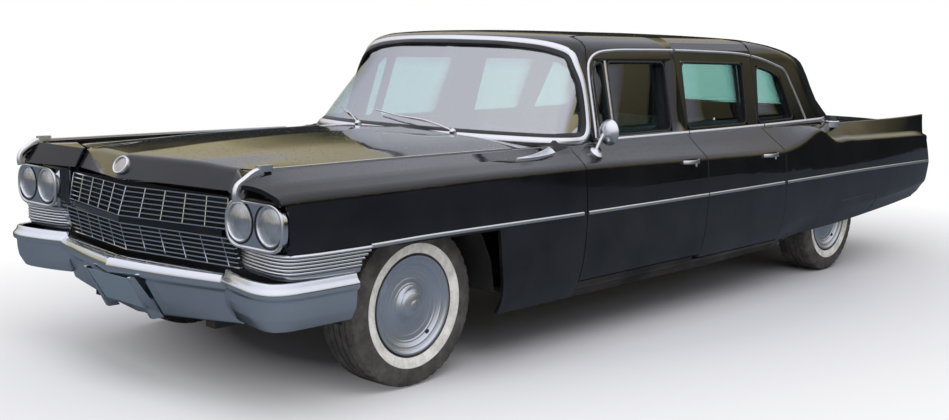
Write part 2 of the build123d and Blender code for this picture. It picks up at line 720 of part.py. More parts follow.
def front_bumper():
    """V-shaped bar with its pan, the corner pieces and the uprights beside the number plate."""
    bar = ruled([[(x, y, z) for y, z in section] for x, section in ((0, BUMPER_MIDDLE), (BUMPER_END_X, BUMPER_END))])
    corner = moulding(BUMPER_WING_PATH, BUMPER_WING)
    upright = prism_x([(-902, 486), (-880, 486), (-745, 300), (-800, 300)], PLATE_HALF + 4, PLATE_HALF + 22)
    left = joined([bar, corner, upright])
    return halves(left)


def front_plate():
    return prism_x([(-898, 478), (-893, 478), (-810, 345), (-815, 345)], -PLATE_HALF, PLATE_HALF)


def rear_bumper():
    path = [(860, 4990), (858, 5090), (842, 5160), (790, 5196), (600, 5212), (300, 5222), (0, 5226)]
    profile = [(0, 560), (-20, 560), (-20, 430), (0, 420), (24, 460), (24, 530)]
    return moulding(path[::-1], [(-out, z) for out, z in profile])


def tail_lamps():
    core = side_core(5150, REAR_TIP, PANEL + 2, 700)
    lamp = core & prism_x([(5165, 600), (5215, 630), (5190, 712), (5178, 786), (5210, 880), (5165, 880)], 850, 1000)
    return both([lamp])


# ---------------------------------------------------------------- running gear
def ring_of(profile, x, y):
    """Solid of revolution about a cross-car line through (y, axle height). Profile is (out, radius)."""
    points = [Vector(x + out, F + y, AXLE_Z + radius) for out, radius in profile]
    outline = Face(Wire.make_polygon(points, close=True))
    return Solid.revolve(outline, 360, Axis((0, F + y, AXLE_Z), (1, 0, 0)))


def tyre(y):
    half = TYRE_WIDTH / 2
    profile = [(-half * 0.62, RIM_RADIUS), (-half * 0.9, RIM_RADIUS + 26), (-half, RIM_RADIUS + 72),
               (-half * 0.96, TYRE_RADIUS - 34), (-half * 0.76, TYRE_RADIUS - 6), (-half * 0.3, TYRE_RADIUS),
               (half * 0.3, TYRE_RADIUS), (half * 0.76, TYRE_RADIUS - 6), (half * 0.96, TYRE_RADIUS - 34),
               (half, RIM_RADIUS + 72), (half * 0.9, RIM_RADIUS + 26), (half * 0.62, RIM_RADIUS)]
    return ring_of(profile, HALF_TRACK, y)


def wheel(y):
    """Rim, disc, drum and the dished cover."""
    profile = [(-66, RIM_RADIUS - 0.3), (-66, RIM_RADIUS - 14), (20, RIM_RADIUS - 26), (20, 150), (-60, 150),
               (-60, HUB_BORE), (74, HUB_BORE), (74, 0), (98, 0), (96, 26), (84, 62), (64, 84), (62, 150), (80, 190),
               (90, COVER_RADIUS), (79.8, COVER_RADIUS), (64.4, RIM_RADIUS - 0.3)]
    return ring_of(profile, HALF_TRACK, y)


def knuckle():
    """Left steering knuckle with its stub axle, on the kingpin."""
    stub = rod_x(0, AXLE_Z, HUB_BORE - BEARING_CLEARANCE, KINGPIN_X, HALF_TRACK + 70)
    post = rod((KINGPIN_X, 0, 236), (KINGPIN_X, 0, 452), 22)
    arm = rod((KINGPIN_X, 0, 262), (KINGPIN_X - 40, 150, 262), 13)
    return joined([post, stub, arm])


def front_suspension():
    """Crossmember, arms, springs and their towers."""
    member = block(-460, 460, -70, 70, 222, FRAME_FRONT_Z)
    tip = KINGPIN_X - 28
    left = [rod((450, -50, 240), (tip, 0, 226), 14), rod((450, 50, 240), (tip, 0, 226), 14),
            block(tip - 40, tip, -20, 20, 214, 238), rod((530, 0, 232), (530, 0, 490), 46),
            block(448, 580, -62, 62, 486, 516), block(446, 456, -62, 62, FRAME_FRONT_Z, 516),
            rod((575, -40, 500), (tip, 0, 480), 12), rod((575, 40, 500), (tip, 0, 480), 12)]
    return joined([member] + both(left))


def rear_axle():
    """Axle with its half shafts' ends, the propeller shaft, springs and trailing arms."""
    tube = rod_x(WHEELBASE, AXLE_Z, 38, -(HALF_TRACK - 75), HALF_TRACK - 75)
    stubs = rod_x(WHEELBASE, AXLE_Z, HUB_BORE - BEARING_CLEARANCE, -(HALF_TRACK + 70), HALF_TRACK + 70)
    case = rod((0, WHEELBASE - 110, AXLE_Z), (0, WHEELBASE + 120, AXLE_Z), 120)
    nose = rod((0, WHEELBASE - 240, AXLE_Z - 10), (0, WHEELBASE - 100, AXLE_Z), 55)
    shaft = rod((0, 900, AXLE_Z - 6), (0, WHEELBASE - 230, AXLE_Z - 10), 34)
    left = [rod((525, WHEELBASE - 50, AXLE_Z), (525, WHEELBASE - 50, 399.5), 48),
            rod((440, WHEELBASE - 10, AXLE_Z - 60), (440, TRAILING_ARM_END + 2, 246), 17)]
    return joined([tube, stubs, case, nose, shaft] + both(left))


FRAME_LOW = (196.0, 284.0)      # rails between the axles
FRAME_FRONT_Z = 290.0           # underside of the front rails
TRAILING_ARM_END = 3046.0


def chassis_frame():
    """X-shaped frame, its front rails raised over the crossmember and its rear ones over the axle."""
    low, high = FRAME_LOW
    front = block(385, 445, -690, 660, FRAME_FRONT_Z, 370)
    drop = block(385, 445, 560, 660, low, FRAME_FRONT_Z)
    cross = prism_z([(385, 600), (445, 600), (445, 660), (60, 1480), (0, 1520), (0, 1400), (385, 560)], low, high)
    left_rear = prism_z([(0, 1400), (60, 1480), (560, 3050), (560, 3320), (490, 3320), (490, 3080), (0, 1660)],
                        low, high)
    bracket = block(424, 500, TRAILING_ARM_END - 16, TRAILING_ARM_END, 226, high)
    up = prism_x([(3300, low), (3410, 284), (3500, 460), (4100, 460), (4300, 412), (5060, 412), (5060, 352),
                  (4300, 352), (4100, 400), (3540, 400), (3430, 196)], 490, 560)
    return joined([front, drop, cross, left_rear, bracket, up]
                  + [other_side(s) for s in (front, drop, cross, left_rear, bracket, up)])


def engine():
    return block(-230, 230, -330, 560, 330, 860)


def wheel_houses():
    arch = []
    for i in range(11):
        angle = math.pi * i / 10
        arch.append((440 * math.cos(angle), AXLE_Z + 440 * math.sin(angle)))
    outer = [(y * 1.015, AXLE_Z + (z - AXLE_Z) * 1.015) for y, z in arch]
    front = prism_x(arch + outer[::-1], 470, 920)
    wall = prism_x([(-440, 400), (-100, 400), (-100, 540), (100, 540), (100, 400), (440, 400), (440, 800),
                    (-440, 800)], 462, 470)
    rear_arch = [(WHEELBASE + y, z) for y, z in arch]
    rear_outer = [(WHEELBASE + y, z) for y, z in outer]
    rear = prism_x(rear_arch + rear_outer[::-1], 600, 892)
    rear_wall = prism_x(rear_arch, 592, 600) - block(580, 610, 3300, 4300, 300, 400)
    return both([front, rear]) + both([wall, rear_wall])


def fuel_tank():
    return block(-470, 470, 4560, 5000, 250, 396)


def exhaust():
    return joined([rod((-520, 700, 240), (-700, 1500, 240), 28), rod((-700, 1500, 240), (-700, 3200, 240), 28),
                   rod((-700, 2300, 230), (-700, 2900, 230), 52)])


# ---------------------------------------------------------------- cabin
WHEEL_CENTRE = (400.0, 1510.0, 860.0)
COLUMN_LEAN = 65.0


def dashboard():
    """Dashboard and the steering column under it."""
    panel = prism_x([(930, 900), (1060, 960), (1200, 950), (1240, 900), (1220, 800), (1180, 730), (1120, 730),
                     (1100, 850), (930, 850)], -800, 800)
    x, y, z = WHEEL_CENTRE
    lean = math.radians(COLUMN_LEAN)
    start = (x, y - 640 * math.sin(lean), z - 640 * math.cos(lean))
    column = rod(start, (x, y - 40 * math.sin(lean), z - 40 * math.cos(lean)), 24)
    return joined([panel - roof_shell(), column])


def steering_wheel():
    x, y, z = WHEEL_CENTRE
    lean = math.radians(COLUMN_LEAN)
    plane = Plane((x, F + y, z), z_dir=(0, math.sin(lean), math.cos(lean)))
    rim = Solid.make_torus(200, 12, plane)
    hub = Solid.make_cylinder(40, 60, plane.offset(-35))
    spoke = plane * Solid.make_box(392, 22, 10).moved(Location((-196, -11, -5)))
    return joined([rim, hub, spoke])


def cushion(y0, y1, z0, z1, half):
    return prism_x([(y0, z0), (y1, z0), (y1, z1 - 20), (y1 - 30, z1), (y0 + 40, z1), (y0, z1 - 30)], -half, half)


def backrest(y0, z0, z1, half, thick, lean):
    return prism_x([(y0, z0), (y0 + lean, z1), (y0 + lean + thick * 0.6, z1), (y0 + thick, z0)], -half, half)


# ---------------------------------------------------------------- output
def save(name, shapes):
    """Write one node, its pieces as separate solids."""
    pieces = []
    for shape in shapes if isinstance(shapes, list) else [shapes]:
        pieces.extend(shape.solids())
    export_step(pieces[0] if len(pieces) == 1 else Compound(children=pieces), f"parts/{name}.step")


def main():
    os.makedirs("parts", exist_ok=True)
    wing_left = wing()
    quarter_left = quarter()
    save("chassis_frame", chassis_frame())
    save("floor_pan", floor_pan())
    save("cowl", cowl())
    save("front_wings", both([wing_left]) + [nose_bar()])
    save("quarter_panels", both([quarter_left]))
    save("roof", roof(wing_left, quarter_left))
    save("rear_deck", rear_deck())
    save("centre_pillars", centre_pillars())
    save("fixed_glass", fixed_glass())
    save("grille", grille())
    save("radiator", radiator())
    save("corner_trim", both([corner_trim()]))
    save("headlamps", headlamps())
    save("lamp_glass", lamp_glass())
    save("front_bumper", front_bumper())
    save("front_plate", front_plate())
    save("rear_bumper", halves(rear_bumper()))
    save("tail_lamps", tail_lamps())
    save("bonnet", halves(bonnet_half()))
    save("boot_lid", halves(boot_half()))
    for side, turn in (("left", lambda s: s), ("right", other_side)):
        save(f"front_door_{side}", turn(front_door()))
        save(f"front_door_glass_{side}", [turn(pane(VENT_WINDOW)), turn(pane(FRONT_WINDOW))])
        save(f"rear_door_{side}", turn(rear_door()))
        save(f"rear_door_glass_{side}", turn(pane(REAR_WINDOW)))
        save(f"knuckle_{side}", turn(knuckle()))
        for end, y in (("front", 0.0), ("rear", WHEELBASE)):
            save(f"tyre_{end}_{side}", turn(tyre(y)))
            save(f"wheel_{end}_{side}", turn(wheel(y)))
    save("front_suspension", front_suspension())
    save("rear_axle", rear_axle())
    save("engine", engine())
    save("wheel_houses", wheel_houses())
    save("fuel_tank", fuel_tank())
    save("exhaust", exhaust())
    save("dashboard", dashboard())
    save("steering_wheel", steering_wheel())
    save("front_cushion", cushion(1480, 1984, SEAT_Z, 560, 700))
    save("front_backrest", backrest(1990, 562, 960, 700, 130, 90))
    save("rear_cushion", cushion(2790, 3296, SEAT_Z, 570, 640))
    save("rear_backrest", backrest(3210, 572, 1000, 585, 130, 120))


main()
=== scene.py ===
"""Looks of a funeral limousine: paint, chrome, glass, tyres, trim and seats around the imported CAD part.

Same frame as the part, in metres: +Z up, the nose points along -Y, +X is the car's left side. Places along
the car are given behind the front axle, as in the part, and are moved into the frame by along().
"""
import json
import math

import bpy
import numpy as np
from bpy.props import FloatProperty, FloatVectorProperty, PointerProperty
from mathutils import Matrix, Vector
from mathutils.bvhtree import BVHTree


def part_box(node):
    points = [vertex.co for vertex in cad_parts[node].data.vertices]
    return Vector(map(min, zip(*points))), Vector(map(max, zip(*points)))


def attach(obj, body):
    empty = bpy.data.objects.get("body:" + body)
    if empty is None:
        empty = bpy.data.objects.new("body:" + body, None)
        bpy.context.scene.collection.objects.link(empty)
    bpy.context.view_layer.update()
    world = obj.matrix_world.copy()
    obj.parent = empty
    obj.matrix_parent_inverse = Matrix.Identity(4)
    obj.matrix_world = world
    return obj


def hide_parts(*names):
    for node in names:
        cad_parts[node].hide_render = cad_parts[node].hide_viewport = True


bl_info = {
    "name": "Funeral limousine",
    "version": (1, 0, 0),
    "blender": (4, 5, 0),
    "location": "View3D > Sidebar > Limousine",
    "description": "Builds the visual pieces, materials and stage of a long six-window limousine",
    "category": "Object",
}

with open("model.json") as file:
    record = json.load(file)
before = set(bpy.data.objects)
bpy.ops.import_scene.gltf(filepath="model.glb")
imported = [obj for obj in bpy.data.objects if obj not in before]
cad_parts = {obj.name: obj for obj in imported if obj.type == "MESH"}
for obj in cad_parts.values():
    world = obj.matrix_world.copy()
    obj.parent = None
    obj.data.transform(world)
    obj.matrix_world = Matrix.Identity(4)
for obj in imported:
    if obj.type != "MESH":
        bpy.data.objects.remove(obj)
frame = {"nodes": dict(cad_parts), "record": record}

# ---------------------------------------------------------------- sizes shared with the part
LENGTH = 6.193
FRONT_AXLE = -LENGTH / 2 + 0.9065
WHEELBASE = 3.805
AXLE_Z = 0.348
HALF_TRACK = 0.7745
TYRE_R = 0.348
TYRE_HALF = 0.104
RIM_R = 0.197
COVER_R = 0.210
DOOR_START, DOOR_MIDDLE, DOOR_END = 1.008, 2.078, 2.956
SIDES = (("left", 1), ("right", -1))


# ---------------------------------------------------------------- settings
class CameraSettings(bpy.types.PropertyGroup):
    place: FloatVectorProperty(name="Place", description="Where the camera stands", size=3,
                               subtype="TRANSLATION", unit="LENGTH", default=(4.2928, -5.6173, 1.4439))
    yaw: FloatProperty(name="Yaw", description="Turn to the left of straight back", subtype="ANGLE",
                       default=math.radians(42.074))
    pitch: FloatProperty(name="Pitch", description="Tilt downwards", subtype="ANGLE",
                         default=math.radians(8.122))
    roll: FloatProperty(name="Roll", description="Lean to the right", subtype="ANGLE",
                        default=math.radians(1.040))
    lens: FloatProperty(name="Lens", description="Focal length on a 36 mm sensor", unit="CAMERA",
                        default=45.155)


class TrimSettings(bpy.types.PropertyGroup):
    spear_half: FloatProperty(name="Spear half height", description="Half the height of the side strip",
                              unit="LENGTH", default=0.009)
    stand: FloatProperty(name="Stand-off", description="How far the side strip stands off the panels",
                         unit="LENGTH", default=0.008)
    step: FloatProperty(name="Step", description="Spacing of the sections along a strip", unit="LENGTH",
                        default=0.03)


# ---------------------------------------------------------------- shapes
def along(y):
    """Place behind the front axle, moved into the frame."""
    return FRONT_AXLE + y


def placed(points):
    """Points (x, place, z) moved into the frame."""
    return np.array(points, float) + [0.0, FRONT_AXLE, 0.0]


def pchip(x, y, at):
    """Monotone cubic through (x, y) at the places `at`: harmonic mean slopes inside, end slopes straight."""
    x, y, at = np.asarray(x, float), np.asarray(y, float), np.asarray(at, float)
    flat = y.ndim == 1
    if flat:
        y = y[:, None]
    h = np.diff(x)[:, None]
    rise = np.diff(y, axis=0) / h
    slope = np.zeros_like(y)
    slope[0], slope[-1] = rise[0], rise[-1]
    if len(x) > 2:
        a, b = rise[:-1], rise[1:]
        same = a * b > 0
        slope[1:-1] = np.where(same, 2 * a * b / np.where(same, a + b, 1), 0)
    k = np.clip(np.searchsorted(x, at, side="right") - 1, 0, len(x) - 2)
    span = (x[k + 1] - x[k])[:, None]
    t = (at - x[k])[:, None] / span
    out = (y[k] * (2 * t ** 3 - 3 * t ** 2 + 1) + y[k + 1] * (3 * t ** 2 - 2 * t ** 3)
           + span * (slope[k] * (t ** 3 - 2 * t ** 2 + t) + slope[k + 1] * (t ** 3 - t ** 2)))
    return out[:, 0] if flat else out


def spline(points, step=0.02, closed=False):
    """Catmull-Rom curve through points, centripetal knots, resampled about every step."""
    def blend(a, b, start, end):
        return (end - t) / (end - start) * a + (t - start) / (end - start) * b

    p = np.asarray(points, float)
    if closed:
        q = np.vstack([p[-1], p, p[:2]])
    else:
        q = np.vstack([2 * p[0] - p[1], p, 2 * p[-1] - p[-2]])
    out = []
    for p0, p1, p2, p3 in zip(q, q[1:], q[2:], q[3:]):
        t0 = 0.0
        t1 = t0 + max(np.linalg.norm(p1 - p0) ** 0.5, 1e-6)
        t2 = t1 + max(np.linalg.norm(p2 - p1) ** 0.5, 1e-6)
        t3 = t2 + max(np.linalg.norm(p3 - p2) ** 0.5, 1e-6)
        count = max(int(np.linalg.norm(p2 - p1) / step), 1)
        t = np.linspace(t1, t2, count, endpoint=False)[:, None]
        a1, a2, a3 = blend(p0, p1, t0, t1), blend(p1, p2, t1, t2), blend(p2, p3, t2, t3)
        out.append(blend(blend(a1, a2, t0, t2), blend(a2, a3, t1, t3), t1, t2))
    if not closed:
        out.append(p[-1:])
    return np.vstack(out)


def eased(corners, cut, steps=5):
    """Closed 2D outline with each corner rounded by a quadratic curve that starts cut away from it."""
    c = np.asarray(corners, float)
    cuts = np.broadcast_to(np.asarray(cut, float), len(c))
    before, after = np.roll(c, 1, 0) - c, np.roll(c, -1, 0) - c
    lb, la = np.linalg.norm(before, axis=1), np.linalg.norm(after, axis=1)
    a = c + before * (np.minimum(cuts, 0.48 * lb) / lb)[:, None]
    b = c + after * (np.minimum(cuts, 0.48 * la) / la)[:, None]
    t = np.linspace(0, 1, steps)[None, :, None]
    curve = a[:, None] * (1 - t) ** 2 + 2 * c[:, None] * t * (1 - t) + b[:, None] * t ** 2
    return curve.reshape(-1, c.shape[1])


def strip(back, front, half, crown=None, cut=0.002, steps=3):
    """Strip section in (out, across): flat back, eased edges, and a middle raised to a given crown."""
    middle = [] if crown is None else [(crown, 0.0)]
    return eased([(back, -half), (front, -half), *middle, (front, half), (back, half)], cut, steps)


def circle(count):
    """Points of the unit circle."""
    a = np.linspace(0, 2 * math.pi, count, endpoint=False)
    return np.column_stack([np.cos(a), np.sin(a)])


def grid_faces(rows, cols, closed_rows=False, closed_cols=False):
    """Quads of a rows x cols grid of vertices, wrapped round where asked."""
    i = np.arange(rows if closed_rows else rows - 1)
    j = np.arange(cols if closed_cols else cols - 1)
    i, j = [a.ravel() for a in np.meshgrid(i, j, indexing="ij")]
    i2, j2 = (i + 1) % rows, (j + 1) % cols
    return np.stack([i * cols + j, i2 * cols + j, i2 * cols + j2, i * cols + j2], 1)


def outward(verts, faces):
    """Faces turned so that a closed surface holds a positive volume."""
    total = 0.0
    for f in faces:
        p = verts[list(f)]
        for k in range(1, len(f) - 1):
            total += np.dot(p[0], np.cross(p[k], p[k + 1]))
    return faces if total >= 0 else [tuple(f)[::-1] for f in faces]


def solid_of(rings, closed_path=False):
    """Closed surface through rings of as many points: quads between rings, and a cap on each end."""
    rings = np.asarray(rings, float)
    n, m = rings.shape[:2]
    verts = rings.reshape(-1, 3)
    faces = [tuple(f) for f in grid_faces(n, m, closed_path, True).tolist()]
    if not closed_path:
        faces += [tuple(range(m))[::-1], tuple(range((n - 1) * m, n * m))]
    return verts, outward(verts, faces)


def sweep(path, normal, profile, closed=False):
    """Profile of (out, across) carried along a path: p + out n + across t x n, with n square to the path."""
    path = np.asarray(path, float)
    normal = np.broadcast_to(np.asarray(normal, float), path.shape)
    if closed:
        t = np.roll(path, -1, 0) - np.roll(path, 1, 0)
    else:
        t = np.gradient(path, axis=0)
    t = t / np.linalg.norm(t, axis=1)[:, None]
    n = normal - (normal * t).sum(1)[:, None] * t
    n = n / np.linalg.norm(n, axis=1)[:, None]
    b = np.cross(t, n)
    profile = np.asarray(profile, float)
    rings = path[:, None] + profile[None, :, :1] * n[:, None] + profile[None, :, 1:] * b[:, None]
    return solid_of(rings, closed)


def lathe(profile, centre, axis, steps=64):
    """Closed surface of revolution of a closed (out, radius) profile about an axis through centre."""
    axis = np.asarray(axis, float) / np.linalg.norm(axis)
    side = np.cross(axis, [0.0, 0.0, 1.0])
    if np.linalg.norm(side) < 0.1:
        side = np.array([1.0, 0.0, 0.0])
    side /= np.linalg.norm(side)
    up = np.cross(axis, side)
    a = np.linspace(0, 2 * math.pi, steps, endpoint=False)[:, None, None]
    profile = np.asarray(profile, float)
    rings = (np.asarray(centre, float) + profile[None, :, :1] * axis
             + profile[None, :, 1:] * (np.cos(a) * side + np.sin(a) * up))
    return solid_of(rings, True)


def dome(centre, axis, radius, height, back, rings=10, steps=48):
    """Domed disc, a cap of height over a short cylinder: its rim and both poles closed."""
    r = np.linspace(0, 1, rings)[1:]
    front = [(height * (1 - v * v), radius * v) for v in r]
    profile = [(height, 1e-4)] + front + [(-back, radius), (-back, 1e-4)]
    return lathe(profile, centre, axis, steps)


def merged(*parts):
    """Several surfaces as one set of vertices and faces."""
    verts, faces, start = [], [], 0
    for v, f in parts:
        verts.append(v)
        faces += [tuple(i + start for i in face) for face in f]
        start += len(v)
    return np.vstack(verts), faces


def across(part):
    """Mirror image on the car's other side, faces turned back outward."""
    verts, faces = part
    return verts * [-1, 1, 1], [tuple(f)[::-1] for f in faces]


def box_part(low, high, ease=0.0):
    """Box between two corners, its upright edges eased."""
    (x0, y0, z0), (x1, y1, z1) = low, high
    ring = eased([(x0, y0), (x1, y0), (x1, y1), (x0, y1)], max(ease, 1e-5), 4)
    rings = [np.column_stack([ring, np.full(len(ring), z)]) for z in (z0, z1)]
    return solid_of(rings)


def piece(name, part, material, body, sharp=35.0):
    """Object from (vertices, faces) that rides on a body, smooth but for edges over the sharp angle."""
    verts, faces = part
    mesh = bpy.data.meshes.new(name)
    mesh.from_pydata(np.asarray(verts).tolist(), [], [list(f) for f in faces])
    mesh.validate()
    mesh.shade_smooth()
    mesh.set_sharp_from_angle(angle=math.radians(sharp))
    obj = bpy.data.objects.new(name, mesh)
    bpy.context.scene.collection.objects.link(obj)
    mesh.materials.append(MATERIALS[material])
    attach(obj, body)
    return obj


def pair(name, part, material, body, sharp=35.0):
    """Left piece and its mirror image. A body that ends in _left gives way to the right one."""
    left = piece(f"{name}_left", part, material, body, sharp)
    right = piece(f"{name}_right", across(part), material, body.replace("_left", "_right"), sharp)
    return left, right


def both_sides(name, part, material, sharp=35.0):
    """One piece on the fixed body that holds a left part and its mirror image."""
    return piece(name, merged(part, across(part)), material, "body", sharp)


# ---------------------------------------------------------------- looking up the CAD surfaces
TREES = {}
# where rays from the side and from above start, and how far they look
OUTSIDE, RAY_REACH = 1.4, 3.0
SHELL = ("shell",)


def points_of(mesh):
    """Vertices of a mesh as an array."""
    points = np.empty(len(mesh.vertices) * 3)
    mesh.vertices.foreach_get("co", points)
    return points.reshape(-1, 3)


def cad_points(node_name):
    """Vertices of a CAD node in the frame."""
    obj = frame["nodes"][node_name]
    m = np.array(obj.matrix_world)
    return points_of(obj.data) @ m[:3, :3].T + m[:3, 3]


def finished_mesh(obj):
    """Mesh of an object with its modifiers applied."""
    return bpy.data.meshes.new_from_object(obj.evaluated_get(bpy.context.evaluated_depsgraph_get()))


def tree_of(name):
    """Ray tree of a CAD node in the frame, or of the smooth greenhouse, which is called shell."""
    if name not in TREES:
        if name == "shell":
            verts, faces = roof_shell(SKIN_IN, SKIN_OUT)
        else:
            verts = cad_points(name)
            faces = [tuple(p.vertices) for p in frame["nodes"][name].data.polygons]
        TREES[name] = BVHTree.FromPolygons(verts.tolist(), faces)
    return TREES[name]


def hit(node_names, start, direction):
    """First (point, normal) that a ray meets on any of the nodes, or None."""
    best = None
    for name in node_names:
        point, normal, _, distance = tree_of(name).ray_cast(Vector(start), Vector(direction), RAY_REACH)
        if point is not None and (best is None or distance < best[2]):
            if np.dot(normal, direction) > 0:
                normal = -normal
            best = (np.array(point), np.array(normal), distance)
    return best[:2] if best else None


def on_side(node_names, y, z):
    """Point and normal on the left side at a place behind the front axle and a height."""
    return hit(node_names, (OUTSIDE, along(y), z), (-1, 0, 0))


def from_above(node_names, x, y):
    """Point and normal on top of the car at a place behind the front axle."""
    return hit(node_names, (x, along(y), OUTSIDE), (0, 0, -1))


# ---------------------------------------------------------------- material helpers
def new_material(name):
    """Empty node material with its output node."""
    mat = bpy.data.materials.new(name)
    mat.use_nodes = True
    mat.node_tree.nodes.clear()
    out = mat.node_tree.nodes.new("ShaderNodeOutputMaterial")
    return mat, mat.node_tree, out


def feed(tree, target, inputs):
    """Sets a node's inputs, by name or number, to constants, output sockets or first outputs of nodes."""
    for key, value in inputs.items():
        if isinstance(value, bpy.types.Node):
            value = value.outputs[0]
        if isinstance(value, bpy.types.NodeSocket):
            tree.links.new(value, target.inputs[key])
        else:
            target.inputs[key].default_value = value


def node(tree, kind, inputs=None, **props):
    """Adds a shader node, its properties set before its inputs."""
    n = tree.nodes.new("ShaderNode" + kind)
    for key, value in props.items():
        setattr(n, key, value)
    feed(tree, n, inputs or {})
    return n


def coords(tree):
    return node(tree, "TexCoord").outputs["Object"]


def maths(tree, operation, first, second, **props):
    return node(tree, "Math", {0: first, 1: second}, operation=operation, **props)


def ranged(tree, value, low, high, to_low=0.0, to_high=1.0):
    """Value mapped from low..high to to_low..to_high, clamped."""
    return node(tree, "MapRange", {"Value": value, "From Min": low, "From Max": high, "To Min": to_low,
                                   "To Max": to_high})


def noise(tree, scale, detail, rough=0.5):
    return node(tree, "TexNoise",
                {"Vector": coords(tree), "Scale": scale, "Detail": detail, "Roughness": rough})


def bump(tree, height, strength, distance):
    return node(tree, "Bump", {"Height": height, "Strength": strength, "Distance": distance})


def mixed(tree, mask, first, second):
    """Colour that turns from first to second by a mask."""
    first, second = [c if isinstance(c, bpy.types.NodeSocket) else (*c, 1.0) for c in (first, second)]
    return node(tree, "Mix", {0: mask, 6: first, 7: second}, data_type="RGBA").outputs[2]


MATERIALS = {}


def principled(name, colour, rough, metal=0.0, **more):
    """Material of one Principled shader. Extra inputs go by socket name."""
    mat, tree, out = new_material(name)
    bsdf = node(tree, "BsdfPrincipled",
                {"Base Color": (*colour, 1.0), "Roughness": rough, "Metallic": metal, **more})
    feed(tree, out, {0: bsdf})
    MATERIALS[name] = mat
    return tree, bsdf


GROUPS = {}


def group(name, inputs, outputs):
    """Empty shader group of float inputs {name: default} and outputs {name: kind of socket}."""
    tree = bpy.data.node_groups.new(name, "ShaderNodeTree")
    for label, value in inputs.items():
        socket = tree.interface.new_socket(label, in_out="INPUT", socket_type="NodeSocketFloat")
        socket.default_value = value
    for label, kind in outputs.items():
        tree.interface.new_socket(label, in_out="OUTPUT", socket_type=kind)
    GROUPS[name] = tree
    return tree, tree.nodes.new("NodeGroupInput").outputs, tree.nodes.new("NodeGroupOutput")


def use(tree, name, output, inputs):
    """One output of a group, with its inputs set."""
    n = tree.nodes.new("ShaderNodeGroup")
    n.node_tree = GROUPS[name]
    feed(tree, n, inputs)
    return n.outputs[output]


def drops_group():
    """Rain drops: small round bumps scattered on faces that look up, as a normal."""
    tree, ins, outs = group("drops", {"Scale": 90.0, "Strength": 0.3}, {"Normal": "NodeSocketVector"})
    cells = node(tree, "TexVoronoi", {"Vector": coords(tree), "Scale": ins["Scale"]}).outputs
    size = ranged(tree, cells["Distance"], 0.16, 0.34, 1.0, 0.0)
    pick = maths(tree, "GREATER_THAN", node(tree, "SeparateColor", {0: cells["Color"]}), 0.62)
    up = node(tree, "SeparateXYZ", {0: node(tree, "NewGeometry").outputs["Normal"]})
    lying = ranged(tree, up.outputs["Z"], 0.25, 0.7)
    mask = maths(tree, "MULTIPLY", maths(tree, "MULTIPLY", size, pick), lying)
    feed(tree, outs, {"Normal": bump(tree, mask, ins["Strength"], 0.002)})


def grime_group():
    """Dust: a soft patchy mask, thickest low on the car."""
    tree, ins, outs = group("grime", {"Amount": 0.2, "Low": 0.2, "High": 0.75}, {"Mask": "NodeSocketFloat"})
    place = node(tree, "SeparateXYZ", {0: coords(tree)})
    low = ranged(tree, place.outputs["Z"], ins["Low"], ins["High"], 1.0, 0.25)
    patch = ranged(tree, noise(tree, 3.5, 7.0, 0.62), 0.36, 0.72)
    both = maths(tree, "MULTIPLY", low, patch)
    feed(tree, outs, {"Mask": maths(tree, "MULTIPLY", both, ins["Amount"])})


def mat_paint():
    """Gloss black under clear lacquer, a little dusty low down, with rain drops on top."""
    black = (0.004, 0.004, 0.005)
    tree, bsdf = principled("paint", black, 0.09, 0.0, **{"Coat Weight": 1.0, "Specular IOR Level": 0.15})
    dust = use(tree, "grime", "Mask", {"Amount": 0.16, "Low": 0.2, "High": 0.75})
    drops = use(tree, "drops", "Normal", {"Scale": DROP_SCALE, "Strength": 0.4})
    feed(tree, bsdf, {"Base Color": mixed(tree, dust, black, (0.14, 0.14, 0.145)),
                      "Coat Roughness": ranged(tree, noise(tree, 5.0, 4.0), 0.35, 0.7, 0.02, 0.07),
                      "Coat Normal": drops})


def mat_chrome():
    """Bumper chrome and the duller bright trim, with dust low down."""
    for name, colour, rough, amount in (("chrome", (0.84, 0.87, 0.90), 0.12, 0.22),
                                        ("bright_trim", (0.92, 0.93, 0.95), 0.30, 0.10)):
        tree, bsdf = principled(name, colour, rough, 1.0)
        dust = use(tree, "grime", "Mask", {"Amount": amount, "Low": 0.25, "High": 0.6})
        feed(tree, bsdf, {"Base Color": mixed(tree, dust, colour, (0.34, 0.36, 0.38)),
                          "Roughness": ranged(tree, dust, 0.0, 1.0, rough, 0.6)})


def mat_glass(name, tint, shade, reflect, least):
    """Tinted pane, shaded above 1.30 m. Only its outer face mirrors: max(Fresnel x reflect, least)."""
    mat, tree, out = new_material(name)
    height = node(tree, "SeparateXYZ", {0: coords(tree)})
    band = ranged(tree, height.outputs["Z"], 1.30, 1.37)
    behind = node(tree, "NewGeometry").outputs["Backfacing"]
    clear = node(tree, "BsdfTransparent",
                 {"Color": mixed(tree, behind, mixed(tree, band, tint, shade), (1.0, 1.0, 1.0))})
    drops = use(tree, "drops", "Normal", {"Scale": DROP_SCALE, "Strength": 0.05})
    gloss = node(tree, "BsdfGlossy", {"Color": (0.95, 0.97, 1.0, 1.0), "Roughness": 0.03, "Normal": drops})
    share = maths(tree, "MULTIPLY", node(tree, "Fresnel", {"IOR": 1.52}), reflect, use_clamp=True)
    kept = maths(tree, "MULTIPLY", maths(tree, "MAXIMUM", share, least), maths(tree, "SUBTRACT", 1.0, behind))
    feed(tree, out, {0: node(tree, "MixShader", {0: kept, 1: clear, 2: gloss})})
    MATERIALS[name] = mat


